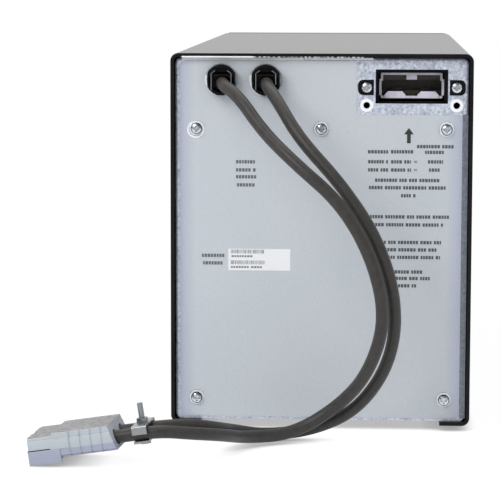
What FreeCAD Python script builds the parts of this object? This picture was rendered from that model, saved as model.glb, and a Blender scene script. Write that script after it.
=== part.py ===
import FreeCAD, Part
import math
import os
import re

import Sketcher
from FreeCAD import Placement, Rotation, Vector

# Extended-run battery pack, tower form. Millimetres. The origin lies on the floor under the
# middle of the body, +Z is up, and the rear panel with the leads faces -Y.

SIZES = {
    # whole body
    "body_width": 170,
    "body_depth": 439,
    "body_height": 213.8,
    "foot_height": 3,
    # wrap-round cover
    "cover_sheet": 1.15,
    "cover_corner": 4.5,
    "hem_thickness": 2.1,
    "hem_depth": 10,
    "flange_width": 17,
    "flange_thickness": 2.3,
    # rear panel and chassis
    "panel_recess": 3.5,
    "panel_sheet": 1.2,
    "panel_gap": 0.3,
    "panel_return": 15,
    "panel_bend": 1.7,
    "panel_corner": 3,
    "chassis_sheet": 1.2,
    "chassis_gap": 0.2,
    "chassis_upright": 25,
    "chassis_side": 40,
    "panel_foot_cut": 2.5,
    "panel_return_gap": 4,
    "cover_screw_inset": 11,
    "cover_screw_end": 69.5,
    "cover_screw_length": 3.2,
    # overlay film and serial label
    "film_thickness": 0.3,
    "film_margin": 2.9,
    "film_top_margin": 1.6,
    "film_bottom_margin": 1.4,
    "film_corner": 4,
    "film_notch_corner": 1.7,
    "film_notch_left": 30.8,
    "film_notch_drop": 15.3,
    "film_screw_window": 9,
    "label_width": 35.2,
    "label_height": 12.3,
    "label_thickness": 0.15,
    "label_across": -34.8,
    "label_up": 96.95,
    # panel screws
    "screw_inset": 14.6,
    "screw_low": 17.5,
    "screw_drop": 42.4,
    "screw_thread": 3.5,
    "screw_head": 6.4,
    "screw_head_height": 2,
    "screw_length": 7.5,
    "screw_slot": 0.9,
    "screw_clearance": 0.3,
    "washer_outside": 8,
    "washer_thickness": 0.6,
    # leads and strain reliefs
    "lead_diameter": 7,
    "lead_clearance": 0.2,
    "gland_inset": 29,
    "gland_pitch": 25,
    "gland_drop": 14.8,
    "gland_lead_drop": 1.3,
    "gland_head": 17.4,
    "gland_flats": 15.6,
    "gland_reach": 8.5,
    "gland_wall": 1.2,
    "gland_recess": 0.8,
    "gland_grip": 12,
    "gland_grip_top": 3.7,
    "gland_grip_foot": 5.5,
    "gland_grip_cut": 1.4,
    "gland_channel": 9.4,
    "gland_channel_top": 2.1,
    "gland_channel_foot": 6.2,
    "gland_window": 18.6,
    "gland_window_slip": 0.4,
    "gland_shank": 15.2,
    "gland_shank_length": 5.5,
    "gland_clearance": 0.15,
    # two-pole connector housing
    "shell_length": 47.8,
    "shell_width": 36.5,
    "shell_height": 15.9,
    "shell_body": 34,
    "shell_step": 2.6,
    "shell_nose_step": 1.5,
    "shell_rail": 0.85,
    "shell_rail_top": 4.1,
    "shell_rail_foot": 4.6,
    "shell_wall": 1.3,
    "shell_hood_setback": 0.5,
    "shell_tail_slant": 3.6,
    "shell_edge": 0.6,
    "pole_pitch": 15.9,
    "wire_bore": 8.5,
    "nose_width": 12.1,
    "nose_pitch": 18.6,
    "nose_bevel": 2.1,
    "nose_height": 2.6,
    "tab_width": 5.9,
    "tab_drop": 2.6,
    "mouth_depth": 22,
    "mouth_roof": 3.4,
    "mouth_web": 2,
    "rib_groove": 1,
    "rib_groove_depth": 1.3,
    "rib_pitch": 5.8,
    "rib_first": 7,
    # contacts
    "contact_width": 6.4,
    "contact_thickness": 1.2,
    "contact_tip": 5,
    "contact_neck": 5.6,
    "contact_lap": 3,
    "barrel_diameter": 8.2,
    "barrel_length": 13,
    "barrel_seat": 3.8,
    # panel connector and what carries it
    "connector_inset": 34.4,
    "connector_drop": 19,
    "connector_recess": 10,
    "window_width": 40.6,
    "window_height": 19.1,
    "window_rise": 0.6,
    "ear_window_inner": 21.2,
    "ear_window_outer": 30.15,
    "ear_window_height": 8.7,
    "ear_window_corner": 3,
    "ear_screw_across": 25.2,
    "tapped_hole": 3.6,
    "tapped_hole_drop": 10,
    "tapped_hole_dimple": 7.4,
    "tapped_hole_collar": 6,
    "tapped_hole_collar_height": 2,
    "bracket_sheet": 1.5,
    "bracket_half_width": 30.5,
    "bracket_top": 13,
    "bracket_bottom": 5,
    "bracket_window": 39,
    "bracket_window_top": 9.7,
    "carrier_length": 26,
    "carrier_wall": 2,
    "carrier_clearance": 0.25,
    "carrier_ear": 6,
    "carrier_ear_height": 9.5,
    # front
    "bezel_depth": 22,
    "bezel_wall": 2.5,
    "bezel_corner": 6,
    "bezel_edge": 3,
    "bezel_seam": 0.3,
    "bezel_groove": 2,
    "bezel_groove_depth": 1,
    "bezel_groove_up": 46,
    "front_frame_sheet": 1.2,
    "front_frame_setback": 1,
    "front_frame_border": 11,
    "front_frame_return": 12,
    "door_sheet": 1.2,
    "door_border": 5,
    "door_screw_inset": 7,
    # rubber feet
    "foot_diameter": 13,
    "foot_taper": 1,
    "foot_inset": 32,
    # battery blocks
    "block_headroom": 37.4,
    "block_gap": 0.6,
    "block_rear": 8.6,
    "block_lid": 14,
    "block_lid_step": 0.8,
    "block_corner": 2.5,
    "liner_thickness": 0.5,
    "post_diameter": 12,
    "post_height": 5,
    "post_across": 24,
    "post_inset": 16,
    "bolt_thread": 5,
    "bolt_head": 8,
    "bolt_head_height": 3.2,
    "link_thickness": 1.5,
    "link_width": 12,
    # packing round the blocks and retainer over them
    "side_pad": 3.7,
    "front_pad": 36.2,
    "end_pad_inset": 10.4,
    "retainer_sheet": 1.5,
    "retainer_margin": 0.3,
    "retainer_pad": 1.5,
    "retainer_drop": 10,
    "retainer_reach": 44,
    # junction block
    "junction_width": 112,
    "junction_length": 40,
    "junction_height": 24,
    "junction_back": 95,
    "junction_bore_depth": 10,
    "fuse_length": 50,
    "fuse_width": 12,
    "fuse_height": 6,
    # leads inside the case
    "inner_lead_diameter": 5.6,
    "inner_lead_straight": 12,
    "inner_lead_lift": 4,
    "gland_lead_run": 26,
    "lug_length": 22,
    "lug_thickness": 2,
    # plug on the floor
    "plug_tail_across": -102.5,
    "plug_tail_out": 93.5,
    "plug_yaw": 5,
    "plug_tilt": 9,
    "floor_clearance": 0.05,
    # clamp on the leads
    "clamp_back": 12,
    "clamp_width": 8,
    "clamp_half_span": 12.4,
    "clamp_sheet": 1.2,
    "clamp_lip": 4.6,
    "clamp_lead_pitch": 14,
    "clamp_screw": 3,
    "clamp_screw_reach": 8,
    "clamp_nut": 5.5,
    "clamp_nut_height": 2.4,
    "clamp_head": 5.6,
    "clamp_head_height": 1.9,
}

doc = FreeCAD.newDocument("BatteryPack")
sheet = doc.addObject("Spreadsheet::Sheet", "Sizes")
for row, (alias, number) in enumerate(SIZES.items(), start=1):
    sheet.set(f"A{row}", alias)
    sheet.set(f"B{row}", str(number))
    sheet.setAlias(f"B{row}", alias)
doc.recompute()

NODES = []
SHEET_NAME = re.compile(r"[a-z]+(?:_[a-z]+)+")

# Places that several pieces share, as expressions in sheet names.
HALF = "body_width / 2"
REAR = "-body_depth / 2"
FRONT = "body_depth / 2"
PANEL_FACE = "-body_depth / 2 + panel_recess"
PANEL_BACK = "-body_depth / 2 + panel_recess + panel_sheet"
BASE = "foot_height + flange_thickness"
PANEL_HALF = "body_width / 2 - hem_thickness - panel_gap"
PANEL_TOP = "body_height - hem_thickness - panel_gap"
COVER_FRONT = "body_depth / 2 - bezel_depth - bezel_seam"
FRAME_FACE = f"{COVER_FRONT} - front_frame_setback"
FRAME_BACK = f"{FRAME_FACE} - front_frame_sheet"
CHASSIS_HALF = f"{PANEL_HALF} - panel_sheet - chassis_gap"
FLOOR_INSIDE = f"{BASE} + chassis_sheet"
BLOCK_BASE = f"{FLOOR_INSIDE} + liner_thickness"
BLOCK_TOP = f"{BLOCK_BASE} + block_height"
BLOCK_REAR = f"{PANEL_BACK} + chassis_sheet + block_rear"

# Sizes that follow from the sheet's, so that each piece keeps its distance from the case.
DERIVED = {
    "cover_screw_across": f"{HALF} - cover_screw_inset",
    "cover_screw_along": f"{FRONT} - cover_screw_end",
    "screw_across": f"{HALF} - screw_inset",
    "screw_high": "body_height - screw_drop",
    "gland_across": f"-{HALF} + gland_inset",
    "gland_up": "body_height - gland_drop",
    "gland_lead_up": "body_height - gland_drop - gland_lead_drop",
    "connector_across": f"{HALF} - connector_inset",
    "connector_up": "body_height - connector_drop",
    "wire_bore_depth": "shell_length - mouth_depth - mouth_web - barrel_seat",
    "block_width": f"{CHASSIS_HALF} - chassis_sheet - side_pad - block_gap / 2",
    "block_length": f"({FRAME_BACK} - chassis_sheet - front_pad - ({BLOCK_REAR}) - block_gap) / 2",
    "block_height": f"{PANEL_TOP} - block_headroom - ({BLOCK_BASE})",
    "end_pad_half_width": "screw_across - end_pad_inset",
    "retainer_half_width": "block_width + block_gap / 2 - retainer_margin",
    "retainer_low": f"{BLOCK_TOP} - retainer_drop",
}


# ---------------------------------------------------------------- reading the sheet

def spelled(match):
    """A derived size in brackets, or the name as it stands."""
    name = match.group()
    return f"({DERIVED[name]})" if name in DERIVED else name


def bound(expression):
    """The expression with derived sizes spelled out and every name read from the sheet."""
    while DERIVED.keys() & set(SHEET_NAME.findall(expression)):
        expression = SHEET_NAME.sub(spelled, expression)
    return SHEET_NAME.sub(r"Sizes.\g<0>", expression)


def value(expression):
    """What an expression in sheet names comes to."""
    return float(sheet.evalExpression(bound(expression)))


# ---------------------------------------------------------------- PartDesign helpers

PLANE_NORMAL = {"XY": 1, "XZ": -1, "YZ": 1}


def new_body(label):
    """A PartDesign body that becomes one node."""
    body = doc.addObject("PartDesign::Body", label)
    body.Label = label
    NODES.append(body)
    return body


def attach(sketch, body, plane, level):
    """Lay a sketch on one of its body's origin planes, moved to a level along the axis."""
    support = next(f for f in body.Origin.OriginFeatures if f.Role == plane + "_Plane")
    sketch.AttachmentSupport = [(support, "")]
    sketch.MapMode = "FlatFace"
    sign = "" if PLANE_NORMAL[plane] > 0 else "-"
    sketch.setExpression(".AttachmentOffset.Base.z", bound(f"{sign}({level})"))


def fix_point(sketch, edge, end, place):
    """Bind a sketch point's two distances from the origin."""
    for kind, expression in zip(("DistanceX", "DistanceY"), place):
        index = sketch.addConstraint(
            Sketcher.Constraint(kind, -1, 1, edge, end, value(expression)))
        sketch.setExpression(f"Constraints[{index}]", bound(expression))


def outline(body, name, plane, corners, level="0"):
    """A closed sketch of straight lines through corners given as expressions."""
    sketch = body.newObject("Sketcher::SketchObject", f"{body.Name}_{name}")
    attach(sketch, body, plane, level)
    spots = [Vector(value(across), value(up), 0) for across, up in corners]
    count = len(spots)
    for i in range(count):
        sketch.addGeometry(Part.LineSegment(spots[i], spots[(i + 1) % count]), False)
    for i in range(count):
        sketch.addConstraint(Sketcher.Constraint("Coincident", i, 2, (i + 1) % count, 1))
        fix_point(sketch, i, 1, corners[i])
    return sketch


def rectangle(body, name, plane, left, right, low, high, level="0"):
    """A rectangular sketch."""
    corners = [(left, low), (right, low), (right, high), (left, high)]
    return outline(body, name, plane, corners, level)


def circles(body, name, plane, centres, diameter, level="0"):
    """A sketch of equal circles."""
    sketch = body.newObject("Sketcher::SketchObject", f"{body.Name}_{name}")
    attach(sketch, body, plane, level)
    for i, centre in enumerate(centres):
        spot = Vector(value(centre[0]), value(centre[1]), 0)
        sketch.addGeometry(Part.Circle(spot, Vector(0, 0, 1), value(diameter) / 2), False)
        fix_point(sketch, i, 3, centre)
        index = sketch.addConstraint(Sketcher.Constraint("Diameter", i, value(diameter)))
        sketch.setExpression(f"Constraints[{index}]", bound(diameter))
    return sketch


def pad(body, sketch, length, back=False):
    """Pad a sketch along its normal, or against it when back is set."""
    feature = body.newObject("PartDesign::Pad", sketch.Name + "_pad")
    feature.Profile = sketch
    feature.setExpression("Length", bound(length))
    feature.Reversed = back
    doc.recompute()
    return feature


def pocket(body, sketch, depth, back=False):
    """Cut a sketch against its normal, or along it when back is set."""
    before = body.Shape.Volume
    feature = body.newObject("PartDesign::Pocket", sketch.Name + "_pocket")
    feature.Profile = sketch
    feature.setExpression("Length", bound(depth))
    feature.Reversed = back
    doc.recompute()
    if body.Shape.Volume >= before:
        raise RuntimeError(f"{sketch.Name} cuts nothing")
    return feature


def soften(body, name, radius, chosen, kind="Fillet"):
    """Fillet or chamfer the edges of the body's tip that the test picks."""
    tip = body.Tip
    names = [f"Edge{i}" for i, edge in enumerate(tip.Shape.Edges, start=1) if chosen(edge)]
    if not names:
        raise RuntimeError(f"no edges for {name} of {body.Label}")
    feature = body.newObject(f"PartDesign::{kind}", f"{body.Name}_{name}")
    feature.Base = (tip, names)
    feature.setExpression("Radius" if kind == "Fillet" else "Size", bound(radius))
    doc.recompute()
    if not feature.isValid():
        raise RuntimeError(f"{feature.Name}: {feature.getStatusString()}")
    return feature


def runs_along(edge, axis):
    """True for a straight edge parallel to an axis."""
    if edge.Curve.TypeId != "Part::GeomLine":
        return False
    return abs(abs(edge.Curve.Direction.dot(axis)) - 1) < 1e-6


def near(number, target):
    return abs(number - target) < 0.01


AXIS_X = Vector(1, 0, 0)
AXIS_Y = Vector(0, 1, 0)
AXIS_Z = Vector(0, 0, 1)


# ---------------------------------------------------------------- plain solids

def node(label, shape):
    """A node whose solid comes from Part's own functions."""
    feature = doc.addObject("Part::Feature", label)
    feature.Label = label
    feature.Shape = shape
    NODES.append(feature)
    return feature


def block(left, right, rear, front, low, high):
    """A box between two corners, in numbers."""
    return Part.makeBox(right - left, front - rear, high - low, Vector(left, rear, low))


def rod(diameter, length, start, direction):
    """A round bar from a point along a direction."""
    return Part.makeCylinder(diameter / 2, length, start, direction)


def revolved(profile):
    """A solid of revolution about Z from (radius, height) corners."""
    points = [Vector(radius, 0, height) for radius, height in profile]
    face = Part.Face(Part.makePolygon(points + points[:1]))
    return face.revolve(Vector(), AXIS_Z, 360)


def turned_to(shape, place, direction):
    """The shape with its +Z turned to a direction and its origin moved to a place."""
    moved = shape.copy()
    moved.Placement = Placement(place, Rotation(AXIS_Z, direction))
    return moved


def pan_head_screw(thread, length, head, head_height):
    """A cross-slotted pan-head screw with its head on +Z and its thread down -Z."""
    radius = head / 2
    body = revolved([(0, -length), (thread / 2 * 0.6, -length), (thread / 2, -length + thread / 2),
                     (thread / 2, 0), (radius, 0), (radius, head_height * 0.45),
                     (radius * 0.86, head_height * 0.8), (radius * 0.5, head_height),
                     (0, head_height)])
    slot = value("screw_slot")
    reach = head * 0.29
    depth = head_height * 0.6
    for across, along in ((slot / 2, reach), (reach, slot / 2)):
        body = body.cut(block(-across, across, -along, along, head_height - depth, head_height + 1))
    return body


# ---------------------------------------------------------------- case

def build_cover():
    """Top, sides and both lower flanges in one folded sheet, with a hem round the rear edge."""
    body = new_body("cover")
    inner_low = BASE
    section = outline(body, "section", "XZ", [
        (f"-{HALF} + flange_width", "foot_height"), (f"-{HALF}", "foot_height"),
        (f"-{HALF}", "body_height"), (HALF, "body_height"), (HALF, "foot_height"),
        (f"{HALF} - flange_width", "foot_height"), (f"{HALF} - flange_width", inner_low),
        (f"{HALF} - cover_sheet", inner_low), (f"{HALF} - cover_sheet", "body_height - cover_sheet"),
        (f"-{HALF} + cover_sheet", "body_height - cover_sheet"),
        (f"-{HALF} + cover_sheet", inner_low), (f"-{HALF} + flange_width", inner_low),
    ], REAR)
    pad(body, section, f"{COVER_FRONT} + body_depth / 2", back=True)
    hem = outline(body, "hem", "XZ", [
        (f"-{HALF} + cover_sheet", inner_low),
        (f"-{HALF} + cover_sheet", "body_height - cover_sheet"),
        (f"{HALF} - cover_sheet", "body_height - cover_sheet"), (f"{HALF} - cover_sheet", inner_low),
        (f"{HALF} - hem_thickness", inner_low),
        (f"{HALF} - hem_thickness", "body_height - hem_thickness"),
        (f"-{HALF} + hem_thickness", "body_height - hem_thickness"),
        (f"-{HALF} + hem_thickness", inner_low),
    ], REAR)
    pad(body, hem, "hem_depth", back=True)
    half = value(HALF)

    def at_corner(edge, inset, low, high):
        middle = edge.CenterOfMass
        return (runs_along(edge, AXIS_Y) and near(abs(middle.x), half - inset)
                and (near(middle.z, low) or near(middle.z, high)))

    low, top = value("foot_height"), value("body_height")
    soften(body, "outer_bends", "cover_corner", lambda e: at_corner(e, 0, low, top))
    sheet_in, hem_in, base = value("cover_sheet"), value("hem_thickness"), value(BASE)
    soften(body, "inner_bends", "cover_corner - cover_sheet",
           lambda e: at_corner(e, sheet_in, base, top - sheet_in))
    soften(body, "hem_bends", "cover_corner - hem_thickness",
           lambda e: at_corner(e, hem_in, base, top - hem_in))
    rear = value(REAR)
    pocket(body, circles(body, "screw_holes", "XY", cover_screw_places(),
                         "screw_thread + screw_clearance", BASE), "flange_thickness")
    soften(body, "hem_edge", "cover_sheet * 0.6",
           lambda e: near(e.CenterOfMass.y, rear) and abs(e.CenterOfMass.z) > base + 1
           and (near(e.BoundBox.XMax, half) or near(-e.BoundBox.XMin, half)
                or near(e.BoundBox.ZMax, top)))


def cover_screw_places():
    """Across and along expressions of the four screws through the cover's flanges."""
    return [(f"{side}cover_screw_across", f"{end}cover_screw_along")
            for side in ("-", "1 * ") for end in ("-", "1 * ")]


def panel_screw_places():
    """Across and up expressions of the five rear screws."""
    return [("-screw_across", "screw_high"), ("0 * screw_across", "screw_high"),
            ("screw_across", "screw_high"), ("-screw_across", "screw_low"),
            ("screw_across", "screw_low")]


def gland_places():
    return [("gland_across", "gland_up"), ("gland_across + gland_pitch", "gland_up")]


def ear_screw_places():
    return [(f"connector_across {sign} ear_screw_across", "connector_up") for sign in "-+"]


def tapped_hole_places():
    return [(f"connector_across {sign} ear_screw_across", "connector_up - tapped_hole_drop")
            for sign in "-+"]


def build_rear_panel():
    """Folded pan that closes the rear, with every opening of the connector corner."""
    body = new_body("rear_panel")
    plate = rectangle(body, "plate", "XZ", f"-({PANEL_HALF})", PANEL_HALF, BASE, PANEL_TOP, PANEL_FACE)
    pad(body, plate, "panel_sheet", back=True)
    half, top, face, base = (value(v) for v in (PANEL_HALF, PANEL_TOP, PANEL_FACE, BASE))
    soften(body, "lower_corners", "panel_foot_cut",
           lambda e: runs_along(e, AXIS_Y) and near(e.CenterOfMass.z, base), "Chamfer")
    inner = f"{PANEL_HALF} - panel_sheet"
    foot = f"{BASE} + panel_return_gap"
    returns = outline(body, "returns", "XZ", [
        (f"-({PANEL_HALF})", foot), (f"-({PANEL_HALF})", PANEL_TOP), (PANEL_HALF, PANEL_TOP),
        (PANEL_HALF, foot), (inner, foot), (inner, f"{PANEL_TOP} - panel_sheet"),
        (f"-({inner})", f"{PANEL_TOP} - panel_sheet"), (f"-({inner})", foot),
    ], PANEL_FACE)
    pad(body, returns, "panel_return", back=True)
    soften(body, "corners", "panel_corner",
           lambda e: runs_along(e, AXIS_Y) and near(abs(e.CenterOfMass.x), half)
           and near(e.CenterOfMass.z, top))
    cut = value("panel_foot_cut")
    soften(body, "bends", "panel_bend",
           lambda e: near(e.CenterOfMass.y, face) and e.CenterOfMass.z > base + cut)
    window = rectangle(body, "window", "XZ", "connector_across - window_width / 2",
                       "connector_across + window_width / 2",
                       "connector_up + window_rise - window_height / 2",
                       "connector_up + window_rise + window_height / 2", PANEL_FACE)
    pocket(body, window, "panel_sheet")
    for side, inside, outside in (("left", "-ear_window_inner", "-ear_window_outer"),
                                  ("right", "ear_window_inner", "ear_window_outer")):
        sketch = rectangle(body, side + "_ear_window", "XZ", f"connector_across + {inside}",
                           f"connector_across + {outside}", "connector_up - ear_window_height / 2",
                           "connector_up + ear_window_height / 2", PANEL_FACE)
        pocket(body, sketch, "panel_sheet")
    rims = [value(f"connector_across {sign} ear_window_outer") for sign in "-+"]
    soften(body, "ear_window_corners", "ear_window_corner",
           lambda e: runs_along(e, AXIS_Y) and near(abs(e.CenterOfMass.z - value("connector_up")),
                                                    value("ear_window_height") / 2)
           and any(near(e.CenterOfMass.x, rim) for rim in rims))
    pocket(body, circles(body, "screw_holes", "XZ", panel_screw_places(),
                         "screw_thread + screw_clearance", PANEL_FACE), "panel_sheet")
    pocket(body, circles(body, "gland_holes", "XZ", gland_places(),
                         "gland_shank + 2 * gland_clearance", PANEL_FACE), "panel_sheet")
    collars = circles(body, "collars", "XZ", tapped_hole_places(), "tapped_hole_collar", PANEL_BACK)
    pad(body, collars, "tapped_hole_collar_height", back=True)
    bores = circles(body, "tapped_holes", "XZ", tapped_hole_places(), "tapped_hole", PANEL_FACE)
    pocket(body, bores, "panel_sheet + tapped_hole_collar_height")
    radius = value("tapped_hole / 2")
    soften(body, "dimples", "min(panel_sheet * 0.9; (tapped_hole_dimple - tapped_hole) / 2)",
           lambda e: e.Curve.TypeId == "Part::GeomCircle" and near(e.Curve.Radius, radius)
           and near(e.CenterOfMass.y, face), "Chamfer")


def build_overlay():
    """Printed film over the rear panel, notched round the connector corner."""
    body = new_body("rear_overlay")
    left = f"-({PANEL_HALF}) + film_margin"
    right = f"{PANEL_HALF} - film_margin"
    low = f"{BASE} + film_bottom_margin"
    top = f"{PANEL_TOP} - film_top_margin"
    notch_left = "connector_across - film_notch_left"
    notch_low = "connector_up - film_notch_drop"
    film = outline(body, "film", "XZ", [(left, low), (right, low), (right, notch_low),
                                        (notch_left, notch_low), (notch_left, top), (left, top)],
                   PANEL_FACE)
    pad(body, film, "film_thickness")
    edge_left, edge_right, edge_low, edge_top = (value(v) for v in (left, right, low, top))
    soften(body, "corners", "film_corner",
           lambda e: runs_along(e, AXIS_Y)
           and ((near(e.CenterOfMass.x, edge_left))
                or (near(e.CenterOfMass.x, edge_right) and near(e.CenterOfMass.z, edge_low))))
    soften(body, "notch_corner", "film_notch_corner",
           lambda e: runs_along(e, AXIS_Y) and near(e.CenterOfMass.x, value(notch_left))
           and near(e.CenterOfMass.z, value(notch_low)))
    pocket(body, circles(body, "screw_windows", "XZ", panel_screw_places(), "film_screw_window",
                         PANEL_FACE), "film_thickness", back=True)
    slipped = [(f"{across} - gland_window_slip", f"{up} - gland_window_slip")
               for across, up in gland_places()]
    pocket(body, circles(body, "gland_windows", "XZ", slipped, "gland_window", PANEL_FACE),
           "film_thickness", back=True)


def build_serial_label():
    """Blank paper label on the film."""
    body = new_body("serial_label")
    paper = rectangle(body, "paper", "XZ", "label_across - label_width / 2",
                      "label_across + label_width / 2", "label_up - label_height / 2",
                      "label_up + label_height / 2", f"{PANEL_FACE} - film_thickness")
    pad(body, paper, "label_thickness")


def build_panel_screws():
    """Five star washers and pan-head screws, heads outward."""
    face = value(PANEL_FACE)
    thread, washer = value("screw_thread"), value("washer_thickness")
    screw = pan_head_screw(thread, value("screw_length"), value("screw_head"),
                           value("screw_head_height"))
    ring = revolved([(thread / 2 + 0.15, 0), (value("washer_outside") / 2, 0),
                     (value("washer_outside") / 2, washer), (thread / 2 + 0.15, washer)])
    screws, washers = [], []
    for across, up in panel_screw_places():
        place = Vector(value(across), face, value(up))
        washers.append(turned_to(ring, place, -AXIS_Y))
        screws.append(turned_to(screw, place - AXIS_Y * washer, -AXIS_Y))
    node("panel_washers", Part.makeCompound(washers))
    node("panel_screws", Part.makeCompound(screws))


def build_chassis():
    """Base tray with a rear and a front upright and two low side walls."""
    body = new_body("chassis")
    rear, front = PANEL_BACK, FRAME_BACK
    section = outline(body, "section", "YZ", [
        (rear, BASE), (front, BASE), (front, f"{BASE} + chassis_upright"),
        (f"{front} - chassis_sheet", f"{BASE} + chassis_upright"),
        (f"{front} - chassis_sheet", FLOOR_INSIDE), (f"{rear} + chassis_sheet", FLOOR_INSIDE),
        (f"{rear} + chassis_sheet", f"{BASE} + chassis_upright"),
        (rear, f"{BASE} + chassis_upright"),
    ], f"-({CHASSIS_HALF})")
    pad(body, section, f"2 * ({CHASSIS_HALF})")
    for name, left, right in (
            ("left_wall", f"-({CHASSIS_HALF})", f"-({CHASSIS_HALF}) + chassis_sheet"),
            ("right_wall", f"{CHASSIS_HALF} - chassis_sheet", CHASSIS_HALF)):
        wall = rectangle(body, name, "XY", left, right, rear, front, BASE)
        pad(body, wall, "chassis_side")
    base = value(BASE)
    soften(body, "bends", "chassis_sheet",
           lambda e: near(e.CenterOfMass.z, base) and (runs_along(e, AXIS_X) or runs_along(e, AXIS_Y)))
    lower = [place for place in panel_screw_places() if place[1] == "screw_low"]
    hole = "screw_thread + screw_clearance"
    pocket(body, circles(body, "rear_holes", "XZ", lower, hole, PANEL_BACK), "chassis_sheet")
    low_door = [place for place in door_screw_places() if FLOOR_INSIDE in place[1]]
    pocket(body, circles(body, "front_holes", "XZ", low_door, hole, f"{FRAME_BACK} - chassis_sheet"),
           "chassis_sheet")
    pocket(body, circles(body, "cover_holes", "XY", cover_screw_places(), hole, FLOOR_INSIDE),
           "chassis_sheet")
    screw = pan_head_screw(value("screw_thread"), value("cover_screw_length"),
                           value("screw_head"), value("screw_head_height"))
    node("cover_screws", Part.makeCompound(
        [turned_to(screw, Vector(value(across), value(along), value("foot_height")), -AXIS_Z)
         for across, along in cover_screw_places()]))


def build_front_frame():
    """Folded frame round the battery opening, with returns under the cover."""
    body = new_body("front_frame")
    half, low, top = CHASSIS_HALF, FLOOR_INSIDE, PANEL_TOP
    plate = rectangle(body, "plate", "XZ", f"-({half})", half, BASE, top, FRAME_BACK)
    pad(body, plate, "front_frame_sheet", back=True)
    opening = rectangle(body, "opening", "XZ", f"-({half}) + front_frame_border",
                        f"{half} - front_frame_border", f"{low} + front_frame_border",
                        f"{top} - front_frame_border", FRAME_BACK)
    pocket(body, opening, "front_frame_sheet")
    crown = rectangle(body, "crown", "XZ", f"-({half})", half, f"{top} - front_frame_sheet", top,
                      FRAME_BACK)
    pad(body, crown, "front_frame_return")
    for name, left, right in (("left_return", f"-({half})", f"-({half}) + front_frame_sheet"),
                              ("right_return", f"{half} - front_frame_sheet", half)):
        side = rectangle(body, name, "XZ", left, right, f"{BASE} + chassis_side + chassis_gap", top,
                         FRAME_BACK)
        pad(body, side, "front_frame_return")
    corners = door_screw_places()
    pocket(body, circles(body, "screw_holes", "XZ", corners, "screw_thread + screw_clearance",
                         FRAME_BACK), "front_frame_sheet")


def door_screw_places():
    half, low, top = CHASSIS_HALF, FLOOR_INSIDE, PANEL_TOP
    return [(f"{sign}({half} - door_screw_inset)", up) for sign in ("-", "")
            for up in (f"{low} + door_screw_inset + door_border", f"{top} - door_screw_inset")]


def build_battery_door():
    """Flat steel door over the battery opening, screwed to the front frame."""
    body = new_body("battery_door")
    half, low, top = CHASSIS_HALF, FLOOR_INSIDE, PANEL_TOP
    plate = rectangle(body, "plate", "XZ", f"-({half}) + door_screw_inset - door_border",
                      f"{half} - door_screw_inset + door_border",
                      f"{low} + door_screw_inset", f"{top} - door_screw_inset + door_border",
                      FRAME_FACE)
    pad(body, plate, "door_sheet", back=True)
    soften(body, "corners", "door_border * 0.8", lambda e: runs_along(e, AXIS_Y))
    pocket(body, circles(body, "screw_holes", "XZ", door_screw_places(),
                         "screw_thread + screw_clearance", FRAME_FACE), "door_sheet")
    face = value(f"{FRAME_FACE} + door_sheet")
    screw = pan_head_screw(value("screw_thread"), value("screw_length"), value("screw_head"),
                           value("screw_head_height"))
    node("door_screws", Part.makeCompound(
        [turned_to(screw, Vector(value(across), face, value(up)), AXIS_Y)
         for across, up in door_screw_places()]))


def build_bezel():
    """Moulded front cap, hollow behind, with one parting groove."""
    body = new_body("front_bezel")
    low = "foot_height"
    cap = rectangle(body, "cap", "XZ", f"-{HALF}", HALF, low, "body_height", f"{FRONT} - bezel_depth")
    pad(body, cap, "bezel_depth", back=True)
    soften(body, "corners", "bezel_corner", lambda e: runs_along(e, AXIS_Y))
    front = value(FRONT)
    soften(body, "front_edge", "bezel_edge", lambda e: near(e.CenterOfMass.y, front))
    hollow = rectangle(body, "hollow", "XZ", f"-{HALF} + bezel_wall", f"{HALF} - bezel_wall",
                       f"{low} + bezel_wall", "body_height - bezel_wall", f"{FRONT} - bezel_depth")
    pocket(body, hollow, "bezel_depth - bezel_wall")
    groove = rectangle(body, "groove", "XZ", f"-{HALF} - bezel_wall", f"{HALF} + bezel_wall",
                       "bezel_groove_up", "bezel_groove_up + bezel_groove", FRONT)
    pocket(body, groove, "bezel_groove_depth", back=True)


def build_feet():
    """Four tapered rubber feet under the cover's flanges."""
    wide, height = value("foot_diameter / 2"), value("foot_height")
    pad_shape = revolved([(0, 0), (wide - value("foot_taper"), 0), (wide, height), (0, height)])
    across = value(f"{HALF} - flange_width / 2")
    along = value("body_depth / 2 - foot_inset")
    for name, x, y in (("foot_rear_left", -across, -along), ("foot_rear_right", across, -along),
                       ("foot_front_left", -across, along), ("foot_front_right", across, along)):
        node(name, turned_to(pad_shape, Vector(x, y, 0), AXIS_Z))


# ---------------------------------------------------------------- strain reliefs and leads

def flatted_disc(body, name, diameter, flats, length, level, back):
    """A round pad with two flat sides."""
    disc = pad(body, circles(body, name, "XZ", [("0 * gland_up", "0 * gland_up")], diameter, level),
               length, back=back)
    for side, inner, outer in (("left", f"-{flats} / 2", f"-{diameter}"),
                               ("right", f"{flats} / 2", f"{diameter}")):
        strip = rectangle(body, f"{name}_{side}", "XZ", inner, outer, f"-{diameter}", diameter, level)
        pocket(body, strip, length, back=not back)
    return disc


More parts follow.
